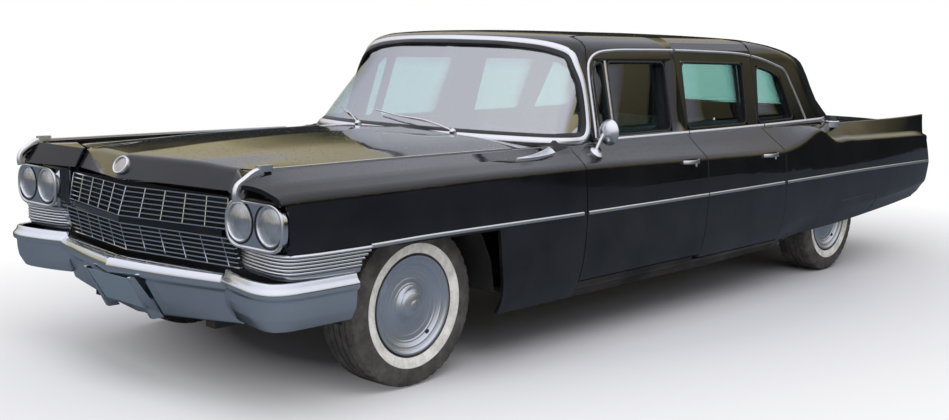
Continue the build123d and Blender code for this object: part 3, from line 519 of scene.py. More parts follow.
def mat_ribbed(name, finish, wave, patches, colours, press, **more):
    """Finish (colour, roughness, metallic) with upright ribs, in patches of two colours.

    wave: scale, distortion. patches: scale, detail. press: strength and depth of the ribs.
    """
    tree, bsdf = principled(name, *finish, **more)
    ribs = node(tree, "TexWave", {"Vector": coords(tree), "Scale": wave[0], "Distortion": wave[1]},
                bands_direction="X")
    feed(tree, bsdf, {"Base Color": mixed(tree, noise(tree, *patches), *colours),
                      "Normal": bump(tree, ribs, *press)})


def mat_rubber():
    """Tyre rubber and its white band, both worn in patches."""
    for name, colour, worn in (("tyre_rubber", (0.050, 0.047, 0.044), (0.13, 0.12, 0.105)),
                               ("white_band", (0.80, 0.79, 0.74), (0.42, 0.39, 0.34))):
        tree, bsdf = principled(name, colour, 0.82)
        patch = ranged(tree, noise(tree, 14.0, 8.0, 0.7), 0.42, 0.75)
        feed(tree, bsdf, {"Base Color": mixed(tree, patch, colour, worn),
                          "Normal": bump(tree, noise(tree, 300.0, 2.0), 0.25, 0.001)})


def mat_dusty(name, colour, dust, rough, metal=0.0, amount=0.5):
    """Plain finish under patchy dust."""
    tree, bsdf = principled(name, colour, rough, metal)
    mask = use(tree, "grime", "Mask", {"Amount": amount, "Low": 0.1, "High": 0.9})
    feed(tree, bsdf, {"Base Color": mixed(tree, mask, colour, dust)})


DROP_SCALE = 75.0
# name, colour, roughness, metallic
PLAIN = (("lamp_glass", (0.70, 0.73, 0.76), 0.12, 0.7), ("trim_black", (0.012, 0.012, 0.014), 0.30),
         # dark_recess is painted shade: a near-black finish for the sheets set in the handle recesses, lamp
         # seats, rib grooves, the cavity behind the lamps and the slots on the wings.
         ("pillar_trim", (0.022, 0.022, 0.025), 0.45), ("dark_recess", (0.006, 0.006, 0.007), 0.55),
         # cover_dark is painted shade: the near-black colour of the valve holes in the wheel covers.
         ("cover_dark", (0.02, 0.022, 0.026), 0.4), ("dash_trim", (0.020, 0.022, 0.025), 0.38),
         ("door_card", (0.30, 0.30, 0.28), 0.8), ("plate_blank", (0.17, 0.23, 0.27), 0.45),
         ("crest_face", (0.55, 0.50, 0.46), 0.25, 0.8))
# name, colour, colour of the dust, roughness, metallic, amount of dust
DUSTY = (("underbody", (0.012, 0.012, 0.012), (0.10, 0.09, 0.08), 0.8),
         ("running_gear", (0.040, 0.036, 0.032), (0.14, 0.12, 0.10), 0.65, 0.3),
         ("pipe_steel", (0.16, 0.14, 0.12), (0.16, 0.12, 0.09), 0.55, 0.7),
         ("wheel_metal", (0.74, 0.79, 0.86), (0.45, 0.47, 0.50), 0.32, 0.92, 0.30))


def build_materials():
    """All materials; then each CAD node gets the one of its slot in the record."""
    drops_group()
    grime_group()
    mat_paint()
    mat_chrome()
    mat_glass("window_glass", (0.42, 0.66, 0.62), (0.40, 0.62, 0.60), 1.4, 0.10)
    mat_glass("screen_glass", (0.42, 0.66, 0.62), (0.30, 0.32, 0.42), 1.6, 0.52)
    mat_rubber()
    mat_ribbed("lamp_lens", ((0.72, 0.75, 0.78), 0.16, 0.85), (38.0, 0.6), (22.0, 3.0),
               ((0.92, 0.94, 0.96), (0.22, 0.25, 0.28)), (0.35, 0.003), **{"Coat Weight": 1.0})
    mat_ribbed("upholstery", ((0.46, 0.45, 0.42), 0.95, 0.0), (55.0, 1.0), (9.0, 5.0),
               ((0.50, 0.49, 0.46), (0.36, 0.35, 0.33)), (0.3, 0.002), **{"Sheen Weight": 0.3})
    principled("red_lens", (0.20, 0.006, 0.008), 0.08, 0.0, **{"Coat Weight": 1.0})
    for finish in PLAIN:
        principled(*finish)
    for finish in DUSTY:
        mat_dusty(*finish)
    slots = {s["node"]: s["material_slot"] for s in frame["record"]["subparts"]}
    for name, obj in frame["nodes"].items():
        obj.data.materials.clear()
        obj.data.materials.append(MATERIALS[slots[name]])


class LIMO_OT_materials(bpy.types.Operator):
    """Make the materials and give them to the CAD nodes"""
    bl_idname = "limo.materials"
    bl_label = "Materials"

    def execute(self, context):
        build_materials()
        return {"FINISHED"}


# ---------------------------------------------------------------- side trim
# stretch, body, CAD nodes under it, first and last place behind the front axle
STRETCHES = (
    ("wing", "body", ("front_wings",), -0.352, DOOR_START - 0.003),
    ("front_door", "front_door_left", ("front_door_left",), DOOR_START + 0.003, DOOR_MIDDLE - 0.005),
    ("rear_door", "rear_door_left", ("rear_door_left",), DOOR_MIDDLE + 0.005, DOOR_END - 0.003),
    ("quarter", "body", ("quarter_panels",), DOOR_END + 0.003, 5.195),
)
SPEAR = ((-0.36, 0.0, 1.0, 2.0, 3.8, 5.08, 5.2), (0.655, 0.660, 0.655, 0.652, 0.650, 0.637, 0.632))


def skin_line(nodes, places, heights):
    """Points and normals on the left skin along (place, height)."""
    found = [on_side(nodes, y, z) for y, z in zip(places, heights)]
    kept = [f for f in found if f is not None]
    return np.array([f[0] for f in kept]), np.array([f[1] for f in kept])


def build_spear(trim):
    """Side strip: an eased wedge section carried along the skin at the height of the SPEAR table."""
    section = strip(-0.004, trim.stand * 0.45, trim.spear_half, trim.stand, [0, 0.003, 0.006, 0.003, 0], 4)
    for name, body, nodes, start, end in STRETCHES:
        places = np.linspace(start, end, max(int((end - start) / trim.step), 4))
        path, normal = skin_line(nodes, places, pchip(*SPEAR, places))
        pair(f"spear_{name}", sweep(path, normal, section), "bright_trim", body)


class LIMO_OT_spear(bpy.types.Operator):
    """Bright strips along the sides, cut at the doors"""
    bl_idname = "limo.spear"
    bl_label = "Side strips"

    def execute(self, context):
        build_spear(context.scene.limo_trim)
        return {"FINISHED"}


# window surround on the left side: x, place, z, from the belt in front over the top to the belt behind
SURROUND = ((0.868, 1.238, 0.984), (0.832, 1.252, 1.110), (0.797, 1.264, 1.230), (0.779, 1.272, 1.290),
            (0.768, 1.286, 1.336), (0.758, 1.318, 1.368), (0.751, 1.376, 1.391), (0.748, 1.495, 1.403),
            (0.746, 1.762, 1.407), (0.746, 2.055, 1.407), (0.747, 2.344, 1.403), (0.751, 2.776, 1.390),
            (0.758, 2.990, 1.364), (0.768, 3.150, 1.329), (0.780, 3.262, 1.292), (0.802, 3.306, 1.215),
            (0.824, 3.346, 1.140), (0.868, 3.414, 0.992))
# stretch, body, first and last place of the surround, first and last place of the belt
FRAME_STRETCHES = (
    ("front_door", "front_door_left", 1.230, 2.058, 1.236, 2.058),
    ("rear_door", "rear_door_left", 2.066, 2.872, 2.066, 2.872),
    ("quarter", "body", 2.884, 3.430, 2.884, 3.72),
)
BELT = ((1.20, 2.06, 2.83, 3.71), (0.968, 0.970, 0.975, 0.987))
BELT_X, BELT_LOOK = 0.868, 0.012
VENT_BAR = ((0.868, 1.388, 0.985), (0.845, 1.396, 1.065), (0.805, 1.410, 1.210), (0.762, 1.425, 1.353))
# window, body, corners of its dark liner as (place, z)
WINDOW_LINERS = (
    ("vent", "front_door_left",
     ((1.284, 0.992), (1.372, 0.992), (1.407, 1.349), (1.346, 1.341), (1.310, 1.289))),
    ("front", "front_door_left", ((1.406, 0.992), (1.911, 0.994), (1.958, 1.346), (1.439, 1.350))),
    ("rear", "rear_door_left", ((2.066, 0.994), (2.698, 0.998), (2.770, 1.337), (2.121, 1.347))),
    ("quarter", "body", ((2.825, 0.998), (3.268, 1.006), (3.190, 1.252), (3.086, 1.293), (2.925, 1.323))),
)
GLASS_SIDE = (0.95, 0.0, 0.3)
NEAR = 0.06


def on_shell(x, y, z):
    """Point and normal of the greenhouse's left side at (y, z), or the given point where none is near it."""
    found = on_side(SHELL, y, z)
    if found is None or abs(found[0][0] - x) > NEAR:
        return np.array([x, along(y), z]), np.array(GLASS_SIDE)
    return found


def build_window_trim():
    """Surround: a 16 mm strip along SURROUND. Belt: a 28 mm strip under the panes. Both cut at the doors."""
    line = spline(SURROUND, 0.02)
    surround = strip(-0.008, 0.004, 0.008, 0.008, 0.003, 4)
    belt = eased([(-0.012, -0.014), (0.008, -0.014), (0.013, 0.0), (0.006, 0.014), (-0.012, 0.014)], 0.005, 4)
    for name, body, start, end, belt_start, belt_end in FRAME_STRETCHES:
        found = [on_shell(*p) for p in line[(line[:, 1] >= start) & (line[:, 1] <= end)]]
        path, normal = [np.array(column) for column in zip(*found)]
        pair(f"surround_{name}", sweep(path, normal, surround), "bright_trim", body)
        places = np.linspace(belt_start, belt_end, 24)
        path = np.array([(on_shell(BELT_X, y, z + BELT_LOOK)[0][0], along(y), z)
                         for y, z in zip(places, pchip(*BELT, places))])
        pair(f"belt_{name}", sweep(path, (1, 0, 0.25), belt), "bright_trim", body)
    found = [(on_side(SHELL, y, z), (x, along(y), z)) for x, y, z in spline(VENT_BAR, 0.03)]
    path = np.array([f[0] if f else p for f, p in found])
    pair("vent_bar", sweep(path, GLASS_SIDE, strip(-0.01, 0.004, 0.008)), "bright_trim", "front_door_left")
    liner = strip(-0.016, 0.002, 0.006)
    for name, body, corners in WINDOW_LINERS:
        path = np.array([(on_side(SHELL, y, z)[0][0] - 0.002, along(y), z)
                         for y, z in eased(corners, 0.045, 6)])
        pair(f"liner_{name}", sweep(path, GLASS_SIDE, liner, True), "trim_black", body)


class LIMO_OT_window_trim(bpy.types.Operator):
    """Bright surrounds, belt strips and the dark liners of the side windows"""
    bl_idname = "limo.window_trim"
    bl_label = "Side window trim"

    def execute(self, context):
        build_window_trim()
        return {"FINISHED"}


# ---------------------------------------------------------------- windscreen and rear window
# windscreen opening: x of the foot, then (place, z) up the corner post, then (x, z) along the header
SCREEN_FOOT = np.linspace(0.0, 0.80, 22)
SCREEN_POST = ((1.02, 0.980), (1.10, 0.979), (1.165, 0.986), (1.190, 1.030), (1.200, 1.080), (1.213, 1.166),
               (1.216, 1.240), (1.213, 1.300), (1.203, 1.348))
SCREEN_HEADER = ((0.736, 1.386), (0.684, 1.409), (0.612, 1.427), (0.500, 1.441), (0.300, 1.452),
                 (0.150, 1.4545), (0.0, 1.456))
SCREEN_FOOT_Z, AHEAD, BEHIND = 0.984, 0.2, 4.6
REAR_FRAME = ((-0.528, 1.042), (0.528, 1.042), (0.498, 1.298), (0.430, 1.348), (0.0, 1.360),
              (-0.430, 1.348), (-0.498, 1.298))


def smoothed(points, rounds, weight):
    """Closed row of points, each replaced by the mean of itself, weighted, and its neighbours."""
    for _ in range(rounds):
        points = (np.roll(points, 1, 0) + weight * points + np.roll(points, -1, 0)) / (2 + weight)
    return points


def build_screen_trim():
    """Bright frame and dark gasket round the windscreen, and the rear window's frame, laid on by rays."""
    half = [hit(SHELL, (x, along(AHEAD), SCREEN_FOOT_Z), (0, 1, 0)) for x in SCREEN_FOOT]
    half += [on_side(SHELL, y, z) for y, z in SCREEN_POST]
    half += [hit(SHELL, (x, along(AHEAD), z), (0, 1, 0)) for x, z in SCREEN_HEADER]
    points, normals = [np.array(column) for column in zip(*[h for h in half if h is not None])]
    loop = np.vstack([points, points[-2:0:-1] * [-1, 1, 1]])
    loop_n = np.vstack([normals, normals[-2:0:-1] * [-1, 1, 1]])
    path = smoothed(spline(loop, 0.020, True), 5, 2)
    nearest = np.argmin(((path[:, None] - loop[None]) ** 2).sum(2), 1)
    normal = smoothed(loop_n[nearest], 6, 1)
    section = strip(-0.012, 0.004, 0.018, 0.010, 0.006, 4)
    piece("windscreen_frame", sweep(path, normal, section, True), "bright_trim", "body")
    gasket = eased([(-0.016, -0.040), (0.000, -0.040), (0.004, -0.015), (-0.016, -0.015)], 0.003, 3)
    piece("windscreen_gasket", sweep(path, normal, gasket, True), "trim_black", "body")
    found = [hit(SHELL, (x, along(BEHIND), z), (0, -1, 0)) for x, z in eased(REAR_FRAME, 0.05, 6)]
    points, normals = [np.array(column) for column in zip(*[f for f in found if f])]
    piece("rear_window_frame", sweep(points, normals, section * [1, 0.7], True), "bright_trim", "body")


class LIMO_OT_screen_trim(bpy.types.Operator):
    """Bright frames of the windscreen and the rear window"""
    bl_idname = "limo.screen_trim"
    bl_label = "Screen frames"

    def execute(self, context):
        build_screen_trim()
        return {"FINISHED"}


# ---------------------------------------------------------------- wing tops, mirror, handles, wipers, crest
BLADE = ((0.797, -0.846, 0.852), (0.799, -0.848, 0.880), (0.800, -0.838, 0.908), (0.803, -0.806, 0.930),
         (0.806, -0.770, 0.952), (0.808, -0.735, 0.962))
WING_STRIP = ((0.806, -0.745, 0.962), (0.803, -0.60, 0.961), (0.802, -0.2, 0.962), (0.802, 0.3, 0.961),
              (0.803, 0.675, 0.960))


def build_wing_tops():
    """Blade up the wing's nose and the strip along its top, each a small section carried along its line."""
    blade = sweep(spline(placed(BLADE), 0.01), (0, -0.85, 0.5), strip(-0.02, 0.006, 0.013, 0.011, 0.003))
    both_sides("wing_blade", blade, "bright_trim")
    cap = box_part((0.793, along(-0.755), 0.955), (0.823, along(-0.690), 0.976), 0.010)
    both_sides("wing_cap", cap, "bright_trim")
    top = sweep(spline(placed(WING_STRIP), 0.04), (0, 0, 1), strip(-0.012, 0.003, 0.005))
    both_sides("wing_strip", top, "bright_trim")


class LIMO_OT_wing_tops(bpy.types.Operator):
    """Blades and strips on top of the front wings"""
    bl_idname = "limo.wing_tops"
    bl_label = "Wing tops"

    def execute(self, context):
        build_wing_tops()
        return {"FINISHED"}


def tube(points, radius, steps=10, spacing=0.01):
    """Round bar along a curve through points (x, place, z)."""
    path = spline(placed(points), spacing)
    t = path[-1] - path[0]
    side = (0, 0, 1) if abs(t[2]) < 0.7 * np.linalg.norm(t) else (1, 0, 0)
    return sweep(path, side, circle(steps) * radius)


MIRROR = (0.935, 1.246, 1.016)
MIRROR_R = 0.064
MIRROR_AXIS = (0.22, 0.97, 0.0)
# steps from the head's middle to the stem's points, and (out, radius) of the foot
MIRROR_STEM = ((-0.012, -0.024, -0.006), (-0.016, -0.050, -0.045), (-0.018, -0.075, -0.085),
               (-0.020, -0.080, -0.105))
MIRROR_FOOT = ((-0.004, 0.0005), (-0.004, 0.034), (0.006, 0.034), (0.014, 0.020), (0.018, 0.0005))


def build_mirror():
    """Round door mirror: a dished head on a bent stem over an oval foot."""
    x, y, z = MIRROR
    shell = [(-0.034, 0.0005), (-0.032, 0.024), (-0.023, 0.046), (-0.008, 0.060), (0.006, MIRROR_R),
             (0.010, MIRROR_R - 0.002), (0.008, MIRROR_R - 0.006), (0.004, 0.0005)]
    head = lathe(shell, (x, along(y), z), MIRROR_AXIS, 40)
    stem = tube(np.array(MIRROR) + MIRROR_STEM, 0.009)
    base, up = from_above(("front_door_left",), x - 0.012, y - 0.082)
    piece("mirror", merged(head, stem, lathe(MIRROR_FOOT, base, up, 32)), "bright_trim", "front_door_left")
    glass = [(0.0, 0.0005), (0.0, MIRROR_R - 0.007), (0.0015, MIRROR_R - 0.007), (0.0015, 0.0005)]
    glass = lathe(glass, (x + 0.0022, along(y) + 0.0097, z), MIRROR_AXIS, 40)
    piece("mirror_glass", glass, "chrome", "front_door_left")


class LIMO_OT_mirror(bpy.types.Operator):
    """Round mirror on the left front door"""
    bl_idname = "limo.mirror"
    bl_label = "Mirror"

    def execute(self, context):
        build_mirror()
        return {"FINISHED"}


# door, first and last place of the grip, height
HANDLES = (("front_door", 1.83, 1.985, 0.838), ("rear_door", 2.68, 2.855, 0.822))
GRIP_LIFT = (0.004, 0.026, 0.030, 0.026, 0.004)
HANDLE_OUT = (1, 0, 0.1)


def build_handles():
    """Door pulls: a shallow bridge that stands off a dish of painted shade, a near-black strip for the shaded
    recess behind the pull, with a round button at its rear end.
    """
    section = eased([(-0.004, -0.010), (0.004, -0.010), (0.005, 0.010), (-0.004, 0.010)], 0.003, 3)
    for door, start, end, z in HANDLES:
        body = f"{door}_left"
        first, middle, last = [on_side((body,), y, z)[0] for y in (start, (start + end) / 2, end)]
        line = [first * (1 - t) + last * t + [out, 0, 0] for t, out in zip(np.linspace(0, 1, 5), GRIP_LIFT)]
        grip = sweep(spline(line, 0.01), HANDLE_OUT, section)
        button = dome(last * 0.86 + first * 0.14 + [0.003, 0, -0.022], HANDLE_OUT, 0.011, 0.006, 0.008)
        pair(f"handle_{door}", merged(grip, button), "bright_trim", body)
        # the dish is painted shade: a near-black strip laid just off the skin where the recess behind the
        # pull lies in shade
        dish = spline([first * 0.9 + last * 0.1, middle, last * 0.93 + first * 0.07], 0.02) + [0.0008, 0, 0]
        dish = sweep(dish, HANDLE_OUT, strip(-0.003, 0.001, 0.014, None, 0.001))
        pair(f"handle_dish_{door}", dish, "dark_recess", body)


class LIMO_OT_handles(bpy.types.Operator):
    """Pull handles and buttons of the doors"""
    bl_idname = "limo.handles"
    bl_label = "Door handles"

    def execute(self, context):
        build_handles()
        return {"FINISHED"}


# ---------------------------------------------------------------- wheels
TREAD_GROOVES = (-0.052, -0.018, 0.018, 0.052)
WHEELS = (("front", 0.0), ("rear", WHEELBASE))
# share of the tyre's half width, how far the band stands off it, radius past the rim
WHITE_BAND = ((0.90, 0.0, 0.024), (0.935, 0.0012, 0.034), (0.985, 0.0014, 0.056), (1.0, 0.0012, 0.0665),
              (0.97, 0.0, 0.068))


def wheel_centre(y):
    return np.array([HALF_TRACK, along(y), AXLE_Z])


def tyre_profile():
    """(out, radius) outline of a tyre: bead, bulged side, shoulder and a tread with four grooves."""
    side = [(0.62, RIM_R), (0.80, RIM_R + 0.010), (0.93, RIM_R + 0.036), (0.985, RIM_R + 0.058),
            (1.0, RIM_R + 0.076), (0.992, RIM_R + 0.100), (0.972, TYRE_R - 0.030), (0.945, TYRE_R - 0.018),
            (0.90, TYRE_R - 0.0075), (0.84, TYRE_R - 0.0045), (0.76, TYRE_R - 0.003)]
    outer = [(TYRE_HALF * a, r) for a, r in side]
    tread = []
    for g in TREAD_GROOVES[::-1]:
        tread += [(g + 0.0045, TYRE_R - 0.0006), (g + 0.0030, TYRE_R - 0.007), (g - 0.0030, TYRE_R - 0.007),
                  (g - 0.0045, TYRE_R - 0.0006)]
    return outer + tread + [(-a, r) for a, r in outer[::-1]]


def tyre_part(y, steps=180):
    """Lathed tyre with a notched shoulder: r falls by 5 mm in every fourth step past the grooves."""
    out, radius = np.array(tyre_profile()).T
    edge = (np.abs(out) > 0.056) & (radius > TYRE_R - 0.020)
    rings = []
    for k in range(steps):
        angle = 2 * math.pi * k / steps
        r = radius - np.where(edge & (k % 4 == 0), 0.005, 0.0)
        rings.append(wheel_centre(y) + np.column_stack([out, r * math.cos(angle), r * math.sin(angle)]))
    return solid_of(rings, True)


def build_tyres():
    """Tyres in place of the plain ones, with a white band about 1.3 mm proud of each outer side."""
    for end, y in WHEELS:
        left, right = pair(f"tyre_skin_{end}", tyre_part(y), "tyre_rubber", f"wheel_{end}_left", 40)
        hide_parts(f"tyre_{end}_left")
        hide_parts(f"tyre_{end}_right")
        band = [(TYRE_HALF * share + stand, RIM_R + r) for share, stand, r in WHITE_BAND]
        band = lathe(band, wheel_centre(y), (1, 0, 0), 96)
        pair(f"white_band_{end}", band, "white_band", f"wheel_{end}_left", 60)


class LIMO_OT_tyres(bpy.types.Operator):
    """Treaded tyres with a white band"""
    bl_idname = "limo.tyres"
    bl_label = "Tyres"

    def execute(self, context):
        build_tyres()
        return {"FINISHED"}


# rings pressed into a wheel cover: radius, half width, height
COVER_RINGS = ((0.066, 0.0022, 0.0025), (0.088, 0.0022, 0.0022), (0.110, 0.0022, 0.0022),
               (0.132, 0.0022, 0.0022), (0.156, 0.003, 0.003), (0.178, 0.003, 0.003),
               (0.203, 0.006, 0.004))
COVER_DISH = ((0.0, 0.026, 0.050, 0.062, 0.084, 0.120, 0.150, 0.180, COVER_R),
              (0.100, 0.098, 0.092, 0.084, 0.068, 0.063, 0.066, 0.080, 0.093))
BOSS_CAP = ((0.100, 0.0005), (0.1045, 0.0005), (0.1035, 0.014), (0.100, 0.022), (0.096, 0.022))
VALVE_R, VALVE_ANGLE = 0.168, math.radians(-52)


def cover_out(r):
    """How far a wheel cover's face lies outboard of the wheel's middle at a radius."""
    return float(pchip(*COVER_DISH, [r])[0])


def cover_profile():
    """Closed (out, radius) outline: the dished face with its pressed rings, and a flat back behind it."""
    face = []
    for r in np.linspace(0.0005, COVER_R, 150):
        rise = sum(0.55 * height * math.exp(-((r - centre) / half) ** 2)
                   for centre, half, height in COVER_RINGS)
        face.append((cover_out(r) + rise + 0.001, r))
    return face + [(cover_out(COVER_R) - 0.006, COVER_R), (0.055, COVER_R - 0.02), (0.055, 0.0005)]


def build_covers():
    """Wheel covers: a lathed disc, a valve slot as a small near-black dome of painted shade, and a small boss
    cap.
    """
    axis = (1, 0, 0)
    valve = [cover_out(VALVE_R) + 0.002, VALVE_R * math.cos(VALVE_ANGLE), VALVE_R * math.sin(VALVE_ANGLE)]
    for end, y in WHEELS:
        centre, body = wheel_centre(y), f"wheel_{end}_left"
        pair(f"wheel_cover_{end}", lathe(cover_profile(), centre, axis, 120), "wheel_metal", body, 50)
        # the valve slot is painted shade: a near-black dome for the shaded hole of the valve
        pair(f"valve_slot_{end}", dome(centre + valve, axis, 0.011, 0.002, 0.004), "cover_dark", body)
        pair(f"boss_cap_{end}", lathe(BOSS_CAP, centre, axis, 48), "bright_trim", body)


class LIMO_OT_covers(bpy.types.Operator):
    """Dished wheel covers with pressed rings"""
    bl_idname = "limo.covers"
    bl_label = "Wheel covers"

    def execute(self, context):
        build_covers()
        return {"FINISHED"}


# ---------------------------------------------------------------- nose: lamps, crest, plate, bumper
LAMPS = ((0.713, -0.762), (0.888, -0.757))
LAMP_Z = 0.760
LAMP_R = 0.073
LAMP_RIM = ((0.634, 0.667), (0.967, 0.667), (0.967, 0.839), (0.634, 0.839))
LAMP_RIM_PLACE = -0.766
# (out, radius past the lamp's) of the bright ring and of the ring of painted shade behind it
LAMP_RING = ((-0.010, -0.004), (0.004, -0.005), (0.008, -0.001), (0.007, 0.004), (0.000, 0.006),
             (-0.010, 0.004))
LAMP_SEAT = ((-0.004, 0.0045), (0.0022, 0.005), (0.0022, 0.011), (-0.004, 0.011))


def build_lamps():
    """Domed lenses, bright rings round them with rings of painted shade behind, and the bright rim round each
    pair.
    """
    ahead = (0, -1, 0)
    ring = [(out, LAMP_R + past) for out, past in LAMP_RING]
    seat = [(out, LAMP_R + past) for out, past in LAMP_SEAT]
    lenses, rings, seats = [], [], []
    for x, y in LAMPS:
        centre = (x, along(y) - 0.001, LAMP_Z)
        lenses.append(dome(centre, ahead, LAMP_R - 0.004, 0.013, 0.012, 12, 56))
        rings.append(lathe(ring, centre, ahead, 64))
        seats.append(lathe(seat, (x, along(LAMP_RIM_PLACE), LAMP_Z), ahead, 64))
    both_sides("lamp_lenses", merged(*lenses), "lamp_lens", 60)
    # the lamp seats are painted shade: near-black rings for the shaded gap round each lens
    both_sides("lamp_seats", merged(*seats), "dark_recess", 60)
    rim = [(x, LAMP_RIM_PLACE, z) for x, z in eased(LAMP_RIM, 0.082, 12)]
    rim = sweep(placed(rim), ahead, strip(-0.006, 0.004, 0.006, 0.006), True)
    both_sides("lamp_rings", merged(*rings, rim), "bright_trim", 40)


class LIMO_OT_lamps(bpy.types.Operator):
    """Lenses, rings and rims of the four headlamps"""
    bl_idname = "limo.lamps"
    bl_label = "Headlamps"

    def execute(self, context):
        build_lamps()
        return {"FINISHED"}


CREST_HALF = (0.044, 0.036)
# share of the oval and rise over the skin of the face's rings
CREST_FACE = ((0.98, -0.012), (0.98, 0.002), (0.6, 0.004), (0.2, 0.005), (0.02, 0.005))


def build_crest():
    """Plain oval on the bonnet's nose: a ring round a blank dished face, square to the skin."""
    def oval(share, rise):
        x, z = (circle(40) * CREST_HALF * share).T
        return centre + normal * rise + np.outer(x, [1, 0, 0]) + np.outer(z, up)

    centre, normal = hit(("bonnet",), (0.0, along(-1.2), 0.915), (0, 1, 0))
    centre[0] = normal[0] = 0.0
    normal /= np.linalg.norm(normal)
    up = np.cross([1.0, 0.0, 0.0], normal)
    up = up if up[2] > 0 else -up
    ring = sweep(oval(1.0, 0.004), normal, strip(-0.016, 0.004, 0.004, 0.006), True)
    piece("crest_ring", ring, "bright_trim", "bonnet")
    piece("crest_face", solid_of([oval(*row) for row in CREST_FACE]), "crest_face", "bonnet", 60)


class LIMO_OT_crest(bpy.types.Operator):
    """Blank oval on the bonnet"""
    bl_idname = "limo.crest"
    bl_label = "Crest"

    def execute(self, context):
        build_crest()
        return {"FINISHED"}


# ---------------------------------------------------------------- wipers
# foot and tip of each arm, then the blade's ends, as (x, place, z)
WIPERS = (
    ((0.355, 0.765, 1.010), (-0.050, 0.812, 1.055), (0.150, 0.800, 1.040), (-0.270, 0.845, 1.075)),
    ((-0.330, 0.770, 1.010), (-0.700, 0.985, 1.060), (-0.520, 0.870, 1.045), (-0.790, 1.040, 1.085)),
)
WIPER_FOOT = ((-0.02, 0.0005), (-0.02, 0.018), (0.0, 0.016), (0.008, 0.009), (0.010, 0.0005))


def build_wipers():
    """Two arms with their blades, laid a few millimetres off the glass."""
    parts = []
    for foot, tip, first, last in WIPERS:
        middle = (np.array(foot) + tip) / 2 + [0, 0, 0.012]
        parts += [lathe(WIPER_FOOT, placed(foot), (0, -0.35, 1), 24), tube([foot, middle, tip], 0.005),
                  tube([first, tip, last], 0.004)]
    piece("wipers", merged(*parts), "bright_trim", "body")


class LIMO_OT_wipers(bpy.types.Operator):
    """Wiper arms and blades"""
    bl_idname = "limo.wipers"
    bl_label = "Wipers"

    def execute(self, context):
        build_wipers()
        return {"FINISHED"}


# ---------------------------------------------------------------- smooth panels and bumpers
def fillet_chain(points, ease, steps=6):
    """Open chain whose inner corners p become quadratic curves a, p, b with a and b at most `ease` away."""
    p = np.asarray(points, float)
    out = [p[0]]
    t = np.linspace(0, 1, steps)[:, None]
    for before, corner, after in zip(p[:-2], p[1:-1], p[2:]):
        a, b = before - corner, after - corner
        la, lb = np.linalg.norm(a), np.linalg.norm(b)
        a, b = corner + a / la * min(ease, la * 0.45), corner + b / lb * min(ease, lb * 0.45)
        out.extend((1 - t) ** 2 * a + 2 * t * (1 - t) * corner + t ** 2 * b)
    return np.array(out + [p[-1]])


def beside(chain, distance):
    """Open plane chain moved sideways to its right-hand side."""
    t = np.gradient(chain, axis=0)
    t /= np.linalg.norm(t, axis=1)[:, None]
    return chain + distance * np.column_stack([t[:, 1], -t[:, 0]])


def walled(chains, wall):
    """Rings of a wall from (x, chain of (place, z)): each chain and its inner side, wall metres below."""
    rings = []
    for x, chain in chains:
        ring = np.vstack([chain, beside(chain, wall)[::-1]])
        rings.append(np.column_stack([np.full(len(ring), x), along(ring[:, 0]), ring[:, 1]]))
    return rings


# x, lip place and z, brow place and z, z at HOOD_PLACES, rear place and z
HOOD = np.array([
    (0.0, -0.846, 0.865, -0.795, 0.960, 0.974, 0.990, 1.003, 0.720, 1.008),
    (0.330, -0.757, 0.860, -0.704, 0.953, 0.963, 0.978, 0.992, 0.736, 0.998),
    (0.560, -0.694, 0.854, -0.645, 0.937, 0.944, 0.962, 0.976, 0.750, 0.984),
    (0.775, -0.640, 0.850, -0.570, 0.940, 0.941, 0.944, 0.950, 0.770, 0.955)])
HOOD_PLACES = (-0.560, -0.300, 0.113)
HOOD_WALL = 0.020
HOOD_FOLD = 0.560


def hood_chain(x, lip):
    """Section of the bonnet at x: columns of HOOD by the monotone cubic, then z over place by another."""
    row = pchip(HOOD[:, 0], HOOD[:, 1:], [abs(x)])[0]
    if abs(x) > HOOD_FOLD:
        share = (abs(x) - HOOD_FOLD) / (HOOD[3, 0] - HOOD_FOLD)
        row[2] = HOOD[2, 3] + (HOOD[3, 3] - HOOD[2, 3]) * share
    places = [row[2], *HOOD_PLACES, row[7]]
    at = np.concatenate([np.linspace(row[2], -0.50, 8), np.linspace(-0.47, row[7], 34)])
    top = np.column_stack([at, pchip(places, [row[3], row[4], row[5], row[6], row[8]], at)])
    if not lip:
        return top
    nose = fillet_chain([row[0:2], top[0], top[0] + (top[2] - top[0])], 0.022, 7)
    return np.vstack([nose[:-1], top[3:]])


def build_bonnet():
    """Bonnet with a rounded brow in place of the plain one, in a middle part and two shoulders."""
    parts = []
    for low, high, count, lip in ((-HOOD_FOLD, HOOD_FOLD, 57, True), (HOOD_FOLD, HOOD[3, 0], 10, False)):
        chains = [(x, hood_chain(x, lip)) for x in np.linspace(low, high, count)]
        parts.append(solid_of(walled(chains, HOOD_WALL)))
    middle, side = parts
    skin = piece("bonnet_skin", merged(middle, side, across(side)), "paint", "bonnet", 28)
    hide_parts("bonnet")


# x, z at the front, at 4.70 and 5.08, shoulder place and z, foot place and z
BOOT = np.array([
    (0.0, 0.962, 0.950, 0.926, 5.160, 0.908, 5.188, 0.800),
    (0.500, 0.960, 0.948, 0.922, 5.160, 0.904, 5.188, 0.800),
    (0.812, 0.942, 0.934, 0.908, 5.150, 0.892, 5.178, 0.800)])
BOOT_FRONT = 4.330
BOOT_WALL = 0.012


